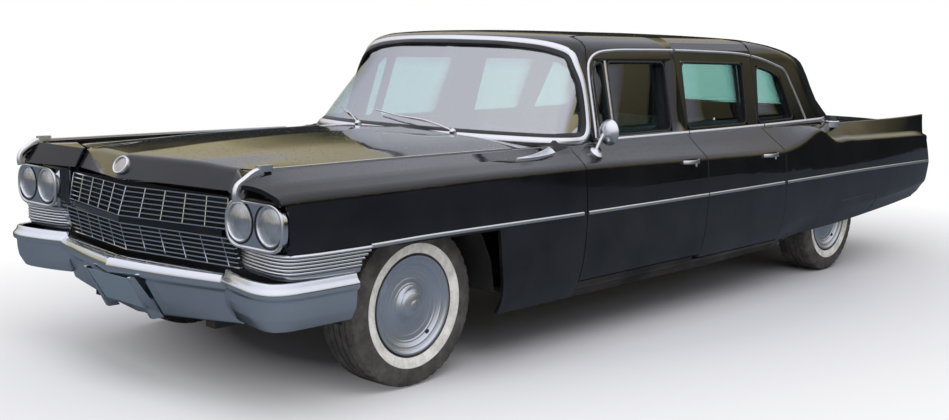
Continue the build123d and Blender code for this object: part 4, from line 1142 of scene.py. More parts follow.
def build_boot_lid():
    """Boot lid: the same sections as the plain one, its rear edge rounded over 30 mm."""
    chains = []
    for x in np.linspace(-0.812, 0.812, 41):
        r = pchip(BOOT[:, 0], BOOT[:, 1:], [abs(x)])[0]
        at = np.linspace(BOOT_FRONT, 5.08, 16)
        top = np.column_stack([at, pchip([BOOT_FRONT, 4.70, 5.08, r[3]], [r[0], r[1], r[2], r[4]], at)])
        chains.append((x, np.vstack([top, fillet_chain([top[-1], r[3:5], r[5:7]], 0.030, 8)[1:]])))
    skin = piece("boot_lid_skin", solid_of(walled(chains, BOOT_WALL)), "paint", "boot_lid", 28)
    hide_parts("boot_lid")


class LIMO_OT_panels(bpy.types.Operator):
    """Smooth bonnet and boot lid"""
    bl_idname = "limo.panels"
    bl_label = "Bonnet and boot lid"

    def execute(self, context):
        build_bonnet()
        build_boot_lid()
        return {"FINISHED"}


def plan_rings(path, profile, nose=0.0):
    """Rings of a profile (out, z) along a plan path (x, place): p + out n, n to the path's right.

    With a nose, rings before the start shrink as a quarter ellipse toward the profile's middle.
    """
    path, profile = np.asarray(path, float), np.asarray(profile, float)
    t = np.gradient(path, axis=0)
    t /= np.linalg.norm(t, axis=1)[:, None]
    n = np.column_stack([t[:, 1], -t[:, 0]])
    xy = path[:, None] + profile[None, :, :1] * n[:, None]
    z = np.broadcast_to(profile[None, :, 1:], (*xy.shape[:2], 1))
    rings = list(np.concatenate([xy[..., :1], along(xy[..., 1:]), z], 2))
    if nose:
        middle = rings[0].mean(0)
        back = np.array([t[0, 0], t[0, 1], 0.0])
        first = rings[0]
        for a in np.radians((20, 40, 58, 72, 84)):
            rings.insert(0, middle + (first - middle) * math.cos(a) - back * nose * math.sin(a))
    return rings


WING_BAR_PATH = ((0.594, -0.746), (0.680, -0.776), (0.780, -0.800), (0.868, -0.812), (0.936, -0.798),
                 (0.972, -0.745), (0.983, -0.650), (0.985, -0.540), (0.984, -0.425))
WING_BAR = ((0.0, 0.560), (0.008, 0.540), (0.022, 0.526), (0.022, 0.506), (0.006, 0.494), (0.004, 0.455),
            (-0.002, 0.420), (-0.030, 0.372), (-0.048, 0.372), (-0.020, 0.430), (-0.014, 0.560))
BAR_MIDDLE = ((-0.830, 0.548), (-0.890, 0.542), (-0.902, 0.518), (-0.902, 0.491), (-0.880, 0.468),
              (-0.820, 0.380), (-0.760, 0.297), (-0.740, 0.297), (-0.800, 0.400), (-0.830, 0.500))
BAR_END = ((-0.700, 0.545), (-0.745, 0.540), (-0.765, 0.520), (-0.765, 0.490), (-0.740, 0.470),
           (-0.710, 0.400), (-0.690, 0.340), (-0.675, 0.340), (-0.690, 0.400), (-0.700, 0.500))
BAR_END_X = 0.620
UPRIGHT = ((-0.902, 0.486), (-0.880, 0.486), (-0.745, 0.300), (-0.800, 0.300))
UPRIGHT_X = (0.156, 0.174)


def build_front_bumper():
    """V bar with its pan (section s(x) between BAR_MIDDLE and BAR_END), swept corners and two uprights."""
    middle, end = eased(BAR_MIDDLE, 0.011, 5), eased(BAR_END, 0.011, 5)
    rings = []
    for share in np.linspace(0, 1, 14):
        section = middle + (end - middle) * share
        bow = 0.010 * math.sin(math.pi * share)
        rings.append(np.column_stack([np.full(len(section), BAR_END_X * share), along(section[:, 0] - bow),
                                      section[:, 1]]))
    path = spline([(x, y, 0) for x, y in WING_BAR_PATH], 0.018)[:, :2]
    corner = solid_of(plan_rings(path, eased(WING_BAR, 0.006, 4), 0.022))
    upright = eased(UPRIGHT, 0.006, 4)
    post = prism(upright, "x", *UPRIGHT_X)
    left = merged(solid_of(rings), corner, post)
    bumper = piece("front_bumper_skin", merged(left, across(left)), "chrome", "body", 40)
    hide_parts("front_bumper")


REAR_BAR_PATH = ((0.0, 5.226), (0.300, 5.222), (0.600, 5.212), (0.790, 5.196), (0.842, 5.160),
                 (0.858, 5.090), (0.860, 4.990))
REAR_BAR = ((0.0, 0.560), (-0.020, 0.560), (-0.020, 0.430), (0.0, 0.420), (0.024, 0.460), (0.024, 0.530))


def build_rear_bumper():
    """Rear bar: one section swept round from the middle to each side."""
    path = spline([(x, y, 0) for x, y in REAR_BAR_PATH], 0.02)[:, :2]
    profile = eased([(-out, z) for out, z in REAR_BAR], 0.010, 5)
    half = solid_of(plan_rings(path, profile))
    bumper = piece("rear_bumper_skin", merged(half, across(half)), "chrome", "body", 40)
    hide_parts("rear_bumper")


RIB_PATH = ((0.640, -0.699), (0.700, -0.722), (0.800, -0.742), (0.900, -0.748), (0.956, -0.726),
            (0.980, -0.640), (0.988, -0.500), (0.990, -0.340))
RIB_COUNT, RIB_LOW, RIB_PITCH, RIB_HIGH = 5, 0.584, 0.0128, 0.0088
STRIP = ((-0.022, 0.647), (0.005, 0.647), (0.010, 0.653), (0.005, 0.660), (-0.022, 0.660))
ARCH_LINE = ((-0.418, 0.414), (-0.408, 0.529), (-0.393, 0.597), (-0.352, 0.643), (-0.352, 0.700))


def build_corner_trim():
    """Strip, a near-black sheet of painted shade behind the ribs, and ribs along RIB_PATH, each up to the
    wheel arch, and plates of painted shade behind the lamps.
    """
    path = spline([(x, y, 0) for x, y in RIB_PATH], 0.015)[:, :2]
    arch = np.array(ARCH_LINE)

    def run(section, inset=0.0):
        z = np.mean([p[1] for p in section])
        stop = np.interp(z, arch[:, 1], arch[:, 0]) - inset
        kept = path[(path[:, 1] <= stop) | (path[:, 0] < 0.96)]
        return solid_of(plan_rings(kept, section))

    parts = [run(eased(STRIP, 0.003, 3))]
    for k in range(RIB_COUNT):
        z = RIB_LOW + RIB_PITCH * k
        parts.append(run(eased([(-0.012, z), (0.002, z), (0.0035, z + RIB_HIGH / 2), (0.002, z + RIB_HIGH),
                                (-0.012, z + RIB_HIGH)], 0.0012, 3)))
    parts.append(run([(-0.024, 0.556), (-0.010, 0.562), (-0.004, 0.572), (-0.004, 0.580), (-0.024, 0.580)]))
    trim = both_sides("corner_trim_bars", merged(*parts), "bright_trim", 40)
    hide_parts("corner_trim")
    # painted shade: a near-black sheet behind the ribs, for the shade in the grooves between them
    shade_sheet = run([(-0.022, 0.584), (-0.007, 0.584), (-0.007, 0.650), (-0.022, 0.650)], 0.001)
    both_sides("corner_trim_shade", shade_sheet, "dark_recess", 40)
    # painted shade: near-black plates behind the lamps and low across the nose, for the shaded cavity behind
    # them
    behind = box_part((0.570, along(-0.692), 0.400), (0.880, along(-0.684), 0.850))
    low = box_part((0.0, along(-0.690), 0.440), (0.575, along(-0.684), 0.570))
    both_sides("lamp_painted_shade", merged(behind, low), "dark_recess")


class LIMO_OT_bumpers(bpy.types.Operator):
    """Smooth bumpers and the ribs above the front one"""
    bl_idname = "limo.bumpers"
    bl_label = "Bumpers"

    def execute(self, context):
        build_front_bumper()
        build_rear_bumper()
        build_corner_trim()
        return {"FINISHED"}


# ---------------------------------------------------------------- roof skins
# half width, z, windscreen middle, windscreen corner, rear window middle, rear corner
ROOF = np.array([
    (0.200, 1.499, 1.480, 1.620, 2.500, 2.350), (0.440, 1.491, 1.260, 1.480, 2.800, 2.500),
    (0.655, 1.474, 1.155, 1.370, 3.150, 2.850), (0.714, 1.448, 1.120, 1.300, 3.420, 3.080),
    (0.746, 1.410, 1.090, 1.262, 3.640, 3.300), (0.766, 1.340, 1.040, 1.238, 3.850, 3.500),
    (0.833, 1.100, 0.870, 1.066, 4.005, 3.605), (0.872, 0.960, 0.770, 0.965, 4.180, 3.745),
    (0.883, 0.920, 0.742, 0.936, 4.195, 3.760)])
ROOF_AT = (0.20, 0.26, 0.32, 0.38, 0.44, 0.50, 0.55, 0.59, 0.625, 0.655, 0.672, 0.69, 0.703, 0.714, 0.724,
           0.735, 0.746, 0.753, 0.76, 0.766, 0.775, 0.79, 0.81, 0.833, 0.85, 0.872, 0.883)
SKIN_OUT, SKIN_IN = 0.0016, -0.002
SKIN_FOOT = 0.985


def roof_loop(half, front, corner, rear, rear_corner):
    """Smooth plan loop of the greenhouse at one height, through the same points as the plain roof."""
    depth, rear_depth = corner - front, rear - rear_corner
    left = [(0.0, front), (half * 0.46, front + depth * 0.14), (half * 0.80, front + depth * 0.46),
            (half * 0.97, corner - 0.040), (half, corner + 0.040), (half, rear_corner - 0.130),
            (half * 0.955, rear_corner + 0.030), (half * 0.80, rear - rear_depth * 0.30),
            (half * 0.45, rear - rear_depth * 0.08), (0.0, rear)]
    loop = np.array(left + [(-x, y) for x, y in left[-2:0:-1]])
    t = np.arange(len(loop) + 1)
    fine = np.linspace(0, len(loop), 12 * len(loop), endpoint=False)
    ends = np.vstack([loop, loop[:1]])
    return pchip(t, ends, fine)


def roof_shell(low, high):
    """Shell round the greenhouse: loops at the half widths ROOF_AT, moved along the normal by low, high."""
    rows = pchip(ROOF[:, 0], ROOF[:, 1:], ROOF_AT)
    loops = []
    for half, (z, front, corner, rear, rear_corner) in zip(ROOF_AT, rows):
        plan = roof_loop(half, front, corner, rear, rear_corner)
        loops.append(np.column_stack([plan[:, 0], along(plan[:, 1]), np.full(len(plan), z)]))
    middle = loops[0].mean(0)
    inner = [middle + (loops[0] - middle) * s for s in (0.03, 0.25, 0.5, 0.75)]
    grid = np.array(inner + loops)
    down = np.gradient(grid, axis=0)
    round_ = np.roll(grid, -1, 1) - np.roll(grid, 1, 1)
    normal = np.cross(round_, down)
    normal /= np.maximum(np.linalg.norm(normal, axis=2), 1e-9)[..., None]
    normal[0] = (0, 0, 1)
    if normal[len(inner), 0, 2] < 0:
        normal = -normal
        normal[0] = (0, 0, 1)
    return solid_of(np.concatenate([grid + low * normal, (grid + high * normal)[::-1]]))


def prism(outline, axis, low, high):
    """(place, z) outline pushed along x, or (x, z) outline pushed along the places."""
    p = np.asarray(outline, float)
    if axis == "x":
        rings = [np.column_stack([np.full(len(p), v), along(p[:, 0]), p[:, 1]]) for v in (low, high)]
    else:
        rings = [np.column_stack([p[:, 0], np.full(len(p), along(v)), p[:, 1]]) for v in (low, high)]
    return solid_of(rings)


def side_prism(outline, sign, near, far):
    """(place, z) outline pushed out along x on one side of the car."""
    return prism(outline, "x", *sorted((sign * near, sign * far)))


def cut(obj, part, operation="DIFFERENCE"):
    """Applies a boolean with a closed part."""
    mesh = bpy.data.meshes.new("cutter")
    mesh.from_pydata(part[0].tolist(), [], [list(f) for f in part[1]])
    cutter = bpy.data.objects.new("cutter", mesh)
    bpy.context.scene.collection.objects.link(cutter)
    modifier = obj.modifiers.new("cut", "BOOLEAN")
    modifier.operation, modifier.solver, modifier.object = operation, "EXACT", cutter
    bpy.context.view_layer.update()
    done = finished_mesh(obj)
    obj.modifiers.clear()
    obj.data = done
    bpy.data.objects.remove(cutter)


WINDSCREEN = ((-1.0, 0.950), (1.0, 0.950), (1.0, 1.340), (0.760, 1.352), (0.728, 1.382), (0.680, 1.403),
              (0.610, 1.420), (0.500, 1.435), (0.300, 1.446), (0.0, 1.450), (-0.300, 1.446),
              (-0.500, 1.435), (-0.610, 1.420), (-0.680, 1.403), (-0.728, 1.382), (-0.760, 1.352),
              (-1.0, 1.340))
WINDSCREEN_SIDE = ((0.500, 0.900), (1.168, 0.900), (1.180, 0.980), (1.206, 1.166), (1.206, 1.300),
                   (1.194, 1.352), (1.290, 1.390), (1.290, 1.500), (0.500, 1.500))
BACKLIGHT = ((-0.520, 1.050), (0.520, 1.050), (0.490, 1.290), (0.430, 1.340), (0.0, 1.352), (-0.430, 1.340),
             (-0.490, 1.290))
WINDOWS = {
    "vent": ((1.280, 0.988), (1.374, 0.988), (1.410, 1.352), (1.345, 1.345), (1.306, 1.290)),
    "front": ((1.402, 0.988), (1.915, 0.990), (1.962, 1.350), (1.436, 1.354)),
    "rear": ((2.061, 0.990), (2.702, 0.994), (2.775, 1.341), (2.117, 1.351)),
    "quarter": ((2.820, 0.994), (3.275, 1.002), (3.195, 1.256), (3.089, 1.298), (2.921, 1.328))}
# front and rear edge of each door's upper part: (place, z) upwards
DOOR_EDGES = (((1.240, 0.976), (1.268, 1.285), (1.280, 1.367), (1.292, 1.420), (1.292, 1.600)),
              ((2.0465, 0.976), (2.0585, 1.285), (2.0625, 1.367), (2.0635, 1.420), (2.0635, 1.600)),
              ((2.806, 0.976), (2.858, 1.285), (2.873, 1.367), (2.878, 1.420), (2.878, 1.600)))
ROOF_CUT_X, ROOF_GAP, SHUT, DOOR_TOP_FOOT = 0.655, 0.010, 0.006, 0.90


def door_outline(first, last, grow_first, grow_last):
    """Closed (place, z) outline between two door edges, each moved by its growth, open below the belt."""
    front = [(y + grow_first, z) for y, z in DOOR_EDGES[first]]
    rear = [(y + grow_last, z) for y, z in DOOR_EDGES[last]]
    front[0], rear[0] = (front[0][0], DOOR_TOP_FOOT), (rear[0][0], DOOR_TOP_FOOT)
    return front + rear[::-1]


def screen_room():
    """Room of the windscreen, which runs round both corners: its front outline met with its side outline."""
    holder = piece("screen_room", prism(WINDSCREEN, "y", 0.5, 1.33), "paint", "body")
    cut(holder, prism(WINDSCREEN_SIDE, "x", -1.0, 1.0), "INTERSECT")
    part = points_of(holder.data), [tuple(p.vertices) for p in holder.data.polygons]
    bpy.data.objects.remove(holder)
    return part


PANE_LOW, PANE_HIGH = -0.018, -0.012
BACKLIGHT_ROOM = (3.4, 4.4)


def build_panes():
    """Smooth panes, cut from a shell 6 mm thick and 12 mm deep in the greenhouse."""
    shell = roof_shell(PANE_LOW, PANE_HIGH)
    rooms = [("windscreen", "screen_glass", "body", screen_room()),
             ("rear_window", "window_glass", "body", prism(BACKLIGHT, "y", *BACKLIGHT_ROOM))]
    for label, sign in SIDES:
        for name, body in (("quarter", "body"), ("vent", f"front_door_{label}"),
                           ("front", f"front_door_{label}"), ("rear", f"rear_door_{label}")):
            room = side_prism(WINDOWS[name], sign, 0.5, 1.0)
            rooms.append((f"{name}_pane_{label}", "window_glass", body, room))
    made = {}
    for name, material, body, room in rooms:
        made[name] = piece(name, shell, material, body, 30)
        cut(made[name], room, "INTERSECT")
    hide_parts("fixed_glass")
    for label, sign in SIDES:
        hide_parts(f"front_door_glass_{label}")
        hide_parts(f"rear_door_glass_{label}")


def build_roof_skin():
    """Smooth skin just outside the plain roof and the door tops, with their openings and gaps cut."""
    shell = roof_shell(SKIN_IN, SKIN_OUT)
    below = box_part((-1.2, along(0.5), 0.80), (1.2, along(4.5), SKIN_FOOT))
    roof = piece("roof_skin", shell, "paint", "body", 28)
    cuts = [below, prism(BACKLIGHT, "y", *BACKLIGHT_ROOM), screen_room()]
    for sign in (1, -1):
        cuts.append(side_prism(door_outline(0, 2, -SHUT, SHUT), sign, ROOF_CUT_X - ROOF_GAP, 1.1))
        cuts.append(side_prism(WINDOWS["quarter"], sign, 0.5, 1.1))
    for part in cuts:
        cut(roof, part)
    # door, its two edges, how far each is moved, its windows
    for name, edges, grow, windows in (("front", (0, 1), (0.0, -SHUT / 2), ("vent", "front")),
                                       ("rear", (1, 2), (SHUT / 2, 0.0), ("rear",))):
        for label, sign in SIDES:
            top = piece(f"{name}_door_top_{label}", shell, "paint", f"{name}_door_{label}", 28)
            cut(top, side_prism(door_outline(*edges, *grow), sign, ROOF_CUT_X, 1.1), "INTERSECT")
            cut(top, below)
            for window in windows:
                cut(top, side_prism(WINDOWS[window], sign, 0.5, 1.05))


class LIMO_OT_roof(bpy.types.Operator):
    """Smooth roof, door tops and panes"""
    bl_idname = "limo.roof"
    bl_label = "Roof"

    def execute(self, context):
        build_roof_skin()
        build_panes()
        return {"FINISHED"}


# ---------------------------------------------------------------- small pieces round the body
# place and x of the wedge's centre line, its half width
WEDGE = ((0.600, 0.905, 0.003), (0.700, 0.900, 0.010), (0.800, 0.890, 0.017), (0.880, 0.880, 0.020))
SLOT = ((0.900, 0.880, 0.010), (0.960, 0.878, 0.012), (1.000, 0.876, 0.011))
# what carries them, the least height that counts as its top, and the height taken where a ray misses it
WING_NODES, WING_LEAST, WING_TOP = ("front_wings", "cowl", "front_door_left"), 0.88, 0.945


def strip_on_wing(rows, rise, step=0.01):
    """Flat strip laid on the wing's top: width w(y) about x(y), each edge dropped onto it by a ray."""
    y, x, half = np.array(rows).T
    places = np.arange(y[0], y[-1], step)
    rings = []
    for place, mid, w in zip(places, pchip(y, x, places), pchip(y, half, places)):
        ring = []
        for share, lift in ((-1, -0.004), (-1, rise), (0, rise * 1.5), (1, rise), (1, -0.004)):
            found = from_above(WING_NODES, mid + w * share, place)
            z = found[0][2] if found and found[0][2] > WING_LEAST else WING_TOP
            ring.append((mid + w * share, along(place), z + lift))
        rings.append(ring)
    return solid_of(rings)


def build_wing_wedges():
    """Bright wedge on the wing's top and the slot behind it, a near-black strip of painted shade."""
    both_sides("wing_wedge", strip_on_wing(WEDGE, 0.007), "bright_trim", 40)
    # the slot is painted shade: a near-black strip where the gap behind the wedge lies in shade
    both_sides("wing_slot", strip_on_wing(SLOT, 0.002), "dark_recess", 40)


# x, place and least height
QUARTER_DOME = (0.872, 3.760, 0.965)


def build_quarter_dome():
    """Small lamp on the left quarter: a dark dome in a bright rim."""
    x, y, least = QUARTER_DOME
    top = from_above(("quarter_panels",), x, y)[0][2]
    centre, axis = (x, along(y), max(top + 0.008, least)), (0.1, 0.0, 1.0)
    rim = [(-0.030, 0.036), (0.004, 0.038), (0.010, 0.042), (0.006, 0.047), (-0.030, 0.047)]
    piece("quarter_lamp_rim", lathe(rim, centre, axis, 40), "bright_trim", "body")
    piece("quarter_lamp_dome", dome(centre, axis, 0.037, 0.042, 0.03, 12, 40), "trim_black", "body", 60)


# seam of the panel over the rear wheel: place, z
SKIRT = ((3.72, 0.468), (3.97, 0.474), (4.195, 0.476), (4.262, 0.468), (4.296, 0.440), (4.292, 0.400),
         (4.262, 0.350))


def build_skirt_seam():
    """Fine bead 1.6 mm in radius along the seam, laid on the quarter panel by rays."""
    found = [on_side(("quarter_panels",), y, z) for _, y, z in spline([(0, y, z) for y, z in SKIRT], 0.02)]
    path = np.array([f[0] + 0.0004 * f[1] for f in found if f])
    pair("skirt_seam", sweep(path, (1, 0, 0), circle(8) * 0.0016), "paint", "body", 60)


# door, first and last place, lowest and highest z of its card
DOOR_CARDS = (("front_door", 1.13, 1.97, 0.46, 0.90), ("rear_door", 2.19, 2.84, 0.46, 0.90))
CARD_THICK, CARD_ROWS, CARD_COLUMNS = 0.010, 26, 14


def build_door_cards():
    """Card on each door's inner face, x(y, z) found by rays from the cabin, with an armrest and a crank."""
    for door, y0, y1, z0, z1 in DOOR_CARDS:
        rows = []
        for y in np.linspace(y0, y1, CARD_ROWS):
            row = []
            for z in np.linspace(z0, z1, CARD_COLUMNS):
                found = hit((f"{door}_left",), (0.5, along(y), z), (1, 0, 0))
                row.append((found[0][0] if found else np.nan, along(y), z))
            rows.append(row)
        face = np.array(rows)
        face[..., 0] = np.where(np.isnan(face[..., 0]), np.nanmin(face[..., 0]), face[..., 0])
        u = np.linspace(-1, 1, CARD_ROWS)[:, None]
        v = np.linspace(-1, 1, CARD_COLUMNS)[None]
        crown = CARD_THICK * np.sqrt(np.clip(1 - u ** 8, 0, 1)) * np.sqrt(np.clip(1 - v ** 8, 0, 1))
        front = face.copy()
        front[..., 0] -= 0.001 + crown
        back = face.copy()
        back[..., 0] -= 0.0005
        card = solid_of(np.concatenate([front, back[:, ::-1]], 1))
        pair(f"{door}_card", card, "door_card", f"{door}_left", 40)
        at = along((y0 + y1) / 2)
        inner = float(front[..., 0].min())
        rest = box_part((inner - 0.035, at - 0.17, 0.650), (inner + 0.030, at + 0.13, 0.685), 0.015)
        pair(f"{door}_armrest", rest, "dash_trim", f"{door}_left")
        knob = [(0.0, 0.0005), (0.0, 0.016), (0.008, 0.014), (0.010, 0.0005)]
        crank = lathe(knob, (inner + 0.006, at - 0.22, 0.72), (-1, 0, 0), 24)
        arm = box_part((inner - 0.006, at - 0.226, 0.650), (inner - 0.001, at - 0.214, 0.722), 0.003)
        pair(f"{door}_crank", merged(crank, arm), "bright_trim", f"{door}_left")


# heights and places of the rear door's rear edge above the hip
DOOR_SLANT = ((0.838, 0.980), (2.956, 2.826))
# heights of the patch, places of its rear end and of the quarter panel that it runs to, and its wall
PATCH_LOW, PATCH_HIGH, PATCH_END, QUARTER_START, PATCH_WALL = 0.846, 0.978, 2.972, 2.985, 0.012


def build_quarter_patch():
    """Panel between the rear door's slanted edge and the quarter panel.

    x(y, z) runs straight from the door's skin to the quarter panel's, both found by rays at each height.
    """
    outer = []
    for z in np.linspace(PATCH_LOW, PATCH_HIGH, 14):
        edge = np.interp(z, *DOOR_SLANT)
        first = on_side(("rear_door_left",), edge - PATCH_WALL, z)
        last = on_side(("quarter_panels",), QUARTER_START, z)
        x0 = first[0][0] if first else 0.875
        x1 = last[0][0] if last else x0
        places = np.linspace(min(edge, 2.952) + SHUT, PATCH_END, 9)
        share = (places - places[0]) / (QUARTER_START - places[0])
        outer.append(np.column_stack([x0 + (x1 - x0) * share + 0.0005, along(places), np.full(9, z)]))
    outer = np.array(outer)
    inner = outer - [PATCH_WALL, 0, 0]
    pair("quarter_patch", solid_of(np.concatenate([outer, inner[:, ::-1]], 1)), "paint", "body")


class LIMO_OT_details(bpy.types.Operator):
    """Wedges on the wings, quarter lamp, quarter patches, skirt seams and door cards"""
    bl_idname = "limo.details"
    bl_label = "Body details"

    def execute(self, context):
        build_wing_wedges()
        build_quarter_dome()
        build_quarter_patch()
        build_skirt_seam()
        build_door_cards()
        return {"FINISHED"}


# ---------------------------------------------------------------- seats
SEATS = ("front_cushion", "rear_cushion", "front_backrest", "rear_backrest")
SEAT_SHRINK, PAD_DEPTH = 0.010, 0.12
END_PINCH, END_START = 0.11, 0.9
VOXEL = 0.014
CLOTH_FRAMES, CLOTH_PRESSURE, SEAT_CAP = 20, 4.0, 0.024
# spacing, depth and half width of the sewn channels, and how far a pad may pass its solid's box
CHANNEL, CHANNEL_DEPTH, CHANNEL_HALF, PAD_SLACK = 0.105, 0.009, 0.009, 0.004


def crowned(node_name):
    """Closed pad inside a CAD cushion's solid, SEAT_SHRINK inside its walls.

    Its section shrinks towards each end, from END_START of the half width on, by END_PINCH at the very end.
    """
    v = cad_points(node_name)
    low, high = v[:, 0].min(), v[:, 0].max()
    section = np.unique(np.round(v[:, 1:], 4), axis=0)
    middle = section.mean(0)
    section = section[np.argsort(np.arctan2(section[:, 1] - middle[1], section[:, 0] - middle[0]))]
    section = (eased(section.tolist(), 0.035, 6) - middle) * (1 - SEAT_SHRINK / PAD_DEPTH)
    rings = []
    for u in np.linspace(-1, 1, 33):
        shrink = 1 - END_PINCH * (max(0.0, abs(u) - END_START) / (1 - END_START)) ** 2
        x = (low + high) / 2 + ((high - low) / 2 - SEAT_SHRINK) * u
        rings.append(np.column_stack([np.full(len(section), x), middle + section * shrink]))
    return solid_of(rings)


def inflate(obj):
    """Cloth with pressure and no gravity, each point held within SEAT_CAP of where it began."""
    cloth = obj.modifiers.new("cloth", "CLOTH")
    cloth.settings.quality = 5
    cloth.settings.use_pressure = True
    cloth.settings.uniform_pressure_force = CLOTH_PRESSURE
    cloth.settings.effector_weights.gravity = 0.0
    scene = bpy.context.scene
    for number in range(1, CLOTH_FRAMES + 1):
        scene.frame_set(number)
    done = finished_mesh(obj)
    before = points_of(obj.data)
    shift = points_of(done) - before
    bpy.data.meshes.remove(done)
    obj.modifiers.clear()
    scene.frame_set(1)
    length = np.linalg.norm(shift, axis=1)[:, None]
    return before + shift * np.minimum(1.0, SEAT_CAP / np.maximum(length, 1e-9))


def build_seats():
    """Benches: remeshed and blown up as cloth, then channels pressed into the side that is sat on."""
    for name in SEATS:
        obj = piece(f"{name}_pad", crowned(name), "upholstery", "body", 60)
        remesh = obj.modifiers.new("remesh", "REMESH")
        remesh.mode, remesh.voxel_size = "VOXEL", VOXEL
        done = finished_mesh(obj)
        obj.modifiers.clear()
        obj.data = done
        points = inflate(obj)
        low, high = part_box(name)
        points = np.clip(points, np.array(low) - PAD_SLACK, np.array(high) + PAD_SLACK)
        seam = (points[:, 0] + CHANNEL / 2) % CHANNEL - CHANNEL / 2
        press = CHANNEL_DEPTH * np.exp(-(seam / CHANNEL_HALF) ** 2)
        if "cushion" in name:
            points[:, 2] -= press * (points[:, 2] > (low[2] + high[2]) / 2)
        else:
            points[:, 1] += press * (points[:, 1] < (low[1] + high[1]) / 2 + 0.03)
        done.vertices.foreach_set("co", points.ravel())
        done.shade_smooth()
        done.update()
        if not done.materials:
            done.materials.append(MATERIALS["upholstery"])
        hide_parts(name)


class LIMO_OT_seats(bpy.types.Operator):
    """Padded front and rear benches"""
    bl_idname = "limo.seats"
    bl_label = "Seats"

    def execute(self, context):
        build_seats()
        return {"FINISHED"}


# ---------------------------------------------------------------- stage
def camera_matrix(s):
    """World matrix from place, yaw, pitch and roll: forward d, right r = d x z turned by the roll."""
    yaw, pitch, roll = s.yaw, s.pitch, s.roll
    d = np.array([-math.sin(yaw) * math.cos(pitch), math.cos(yaw) * math.cos(pitch), -math.sin(pitch)])
    r = np.cross(d, [0, 0, 1])
    r /= np.linalg.norm(r)
    u = np.cross(r, d)
    right = math.cos(roll) * r + math.sin(roll) * u
    up = -math.sin(roll) * r + math.cos(roll) * u
    m = np.eye(4)
    m[:3, 0], m[:3, 1], m[:3, 2], m[:3, 3] = right, up, -d, s.place[:]
    return Matrix(m.tolist())


# height of the view direction less a share of its rearward part, colour: ground, trees, haze, sky
TREE_RISE = 0.18
SKY = ((0.0, (0.020, 0.022, 0.022)), (0.02, (0.035, 0.033, 0.024)), (0.07, (0.20, 0.18, 0.10)),
       (0.13, (0.50, 0.44, 0.27)), (0.20, (0.58, 0.54, 0.42)), (0.28, (0.60, 0.60, 0.64)),
       (0.42, (0.78, 0.79, 0.90)), (1.0, (1.0, 1.0, 1.06)))


def build_world():
    """Pale overcast sky over a belt of trees for reflections and light. The camera itself sees white."""
    world = bpy.data.worlds.new("studio")
    bpy.context.scene.world = world
    world.use_nodes = True
    tree = world.node_tree
    tree.nodes.clear()
    view = node(tree, "TexCoord").outputs["Generated"]
    wobble = node(tree, "TexNoise", {"Vector": view, "Scale": 6.0, "Detail": 5.0})
    height = node(tree, "SeparateXYZ", {0: view}).outputs
    rise = node(tree, "Math", {0: height["Y"], 1: -TREE_RISE, 2: height["Z"]}, operation="MULTIPLY_ADD")
    ragged = maths(tree, "ADD", rise, ranged(tree, wobble, 0.3, 0.7, -0.035, 0.035))
    ramp = node(tree, "ValToRGB", {0: ragged})
    stops = ramp.color_ramp.elements
    while len(stops) < len(SKY):
        stops.new(0.5)
    for stop, (at, colour) in zip(stops, SKY):
        stop.position, stop.color = at, (*colour, 1.0)
    seen = node(tree, "LightPath").outputs["Is Camera Ray"]
    sky = node(tree, "Background", {"Color": ramp, "Strength": 1.0})
    white = node(tree, "Background", {"Color": WHITE, "Strength": 1.0})
    node(tree, "OutputWorld", {0: node(tree, "MixShader", {0: seen, 1: sky, 2: white})})


FLOOR_HALF = 60.0
WHITE = (1.0, 1.0, 1.0, 1.0)
# how fast the floor fades along each axis, and where the fade starts and ends
FADE, FADE_START, FADE_END = (0.33, 0.20, 1.0), 0.45, 1.05
# The second floor colour is a painted reflection: what glossy rays see, darker than the pale floor the camera
# sees.
FLOOR_PALE, FLOOR_PAINTED_REFLECTION = (0.62, 0.62, 0.63), (0.12, 0.14, 0.165)
KEY_POWER, KEY_SIZE, KEY_PLACE, KEY_TILT = 260, (7.0, 3.5), (3.0, -3.5, 6.0), math.radians(25)
SENSOR = 36.0


def build_floor():
    """Pale floor that fades to pure white away from the car, so that no horizon shows. In glossy rays it
    takes a darker colour, a painted reflection of a dark ground.
    """
    mesh = bpy.data.meshes.new("floor")
    s = FLOOR_HALF
    mesh.from_pydata([(-s, -s, 0), (s, -s, 0), (s, s, 0), (-s, s, 0)], [], [(0, 1, 2, 3)])
    floor = bpy.data.objects.new("floor", mesh)
    bpy.context.scene.collection.objects.link(floor)
    mat, tree, out = new_material("floor")
    far = node(tree, "VectorMath", {0: coords(tree), 1: FADE}, operation="MULTIPLY")
    reach = node(tree, "VectorMath", {0: far}, operation="LENGTH").outputs["Value"]
    path = node(tree, "LightPath").outputs
    only = maths(tree, "MULTIPLY", ranged(tree, reach, FADE_START, FADE_END), path["Is Camera Ray"])
    # painted reflection: glossy rays see the dark floor colour, so the car mirrors a dark ground
    colour = mixed(tree, path["Is Glossy Ray"], FLOOR_PALE, FLOOR_PAINTED_REFLECTION)
    matt = node(tree, "BsdfDiffuse", {"Color": colour})
    glow = node(tree, "Emission", {"Color": WHITE, "Strength": 1.0})
    feed(tree, out, {0: node(tree, "MixShader", {0: only, 1: matt, 2: glow})})
    MATERIALS["floor"] = mat
    mesh.materials.append(mat)


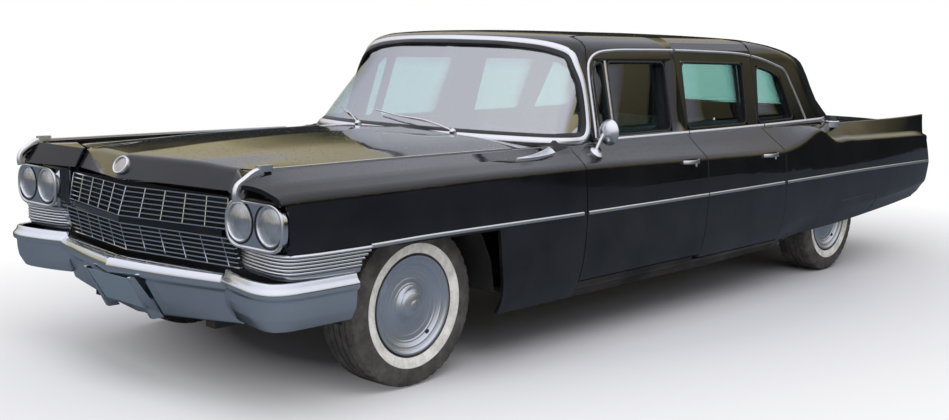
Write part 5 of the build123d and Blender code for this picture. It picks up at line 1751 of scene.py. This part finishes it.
def build_stage(settings):
    """View transform, world, floor, key light and camera."""
    scene = bpy.context.scene
    scene.view_settings.view_transform = "Standard"
    scene.view_settings.look = "None"
    build_world()
    build_floor()
    lamp = bpy.data.lights.new("key", "AREA")
    lamp.energy, lamp.shape = KEY_POWER, "RECTANGLE"
    lamp.size, lamp.size_y = KEY_SIZE
    key = bpy.data.objects.new("key", lamp)
    key.location = KEY_PLACE
    key.visible_glossy = False
    key.rotation_euler = (KEY_TILT, KEY_TILT, 0)
    scene.collection.objects.link(key)
    cam = bpy.data.cameras.new("camera")
    cam.lens = settings.lens
    cam.sensor_width = SENSOR
    eye = bpy.data.objects.new("camera", cam)
    scene.collection.objects.link(eye)
    eye.matrix_world = camera_matrix(settings)
    scene.camera = eye


class LIMO_OT_stage(bpy.types.Operator):
    """Set up the floor, light, background and camera"""
    bl_idname = "limo.stage"
    bl_label = "Stage"

    def execute(self, context):
        build_stage(context.scene.limo_camera)
        return {"FINISHED"}


# ---------------------------------------------------------------- panel and registration
OPERATORS = [LIMO_OT_materials, LIMO_OT_spear, LIMO_OT_window_trim, LIMO_OT_screen_trim, LIMO_OT_wing_tops,
             LIMO_OT_mirror, LIMO_OT_handles, LIMO_OT_tyres, LIMO_OT_covers, LIMO_OT_lamps, LIMO_OT_crest,
             LIMO_OT_wipers, LIMO_OT_panels, LIMO_OT_bumpers, LIMO_OT_roof,
             LIMO_OT_details, LIMO_OT_seats, LIMO_OT_stage]


class LIMO_PT_panel(bpy.types.Panel):
    """Buttons in the order in which they build the car"""
    bl_idname = "LIMO_PT_panel"
    bl_label = "Limousine"
    bl_space_type = "VIEW_3D"
    bl_region_type = "UI"
    bl_category = "Limousine"

    def draw(self, context):
        for op in OPERATORS:
            self.layout.operator(op.bl_idname)


CLASSES = [CameraSettings, TrimSettings] + OPERATORS + [LIMO_PT_panel]


def register():
    for cls in CLASSES:
        bpy.utils.register_class(cls)
    bpy.types.Scene.limo_camera = PointerProperty(type=CameraSettings)
    bpy.types.Scene.limo_trim = PointerProperty(type=TrimSettings)


def unregister():
    del bpy.types.Scene.limo_trim
    del bpy.types.Scene.limo_camera
    for cls in reversed(CLASSES):
        bpy.utils.unregister_class(cls)


def main():
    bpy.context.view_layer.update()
    register()
    for op in OPERATORS:
        getattr(bpy.ops.limo, op.bl_idname.split(".")[1])()


if __name__ == "__main__":
    main()
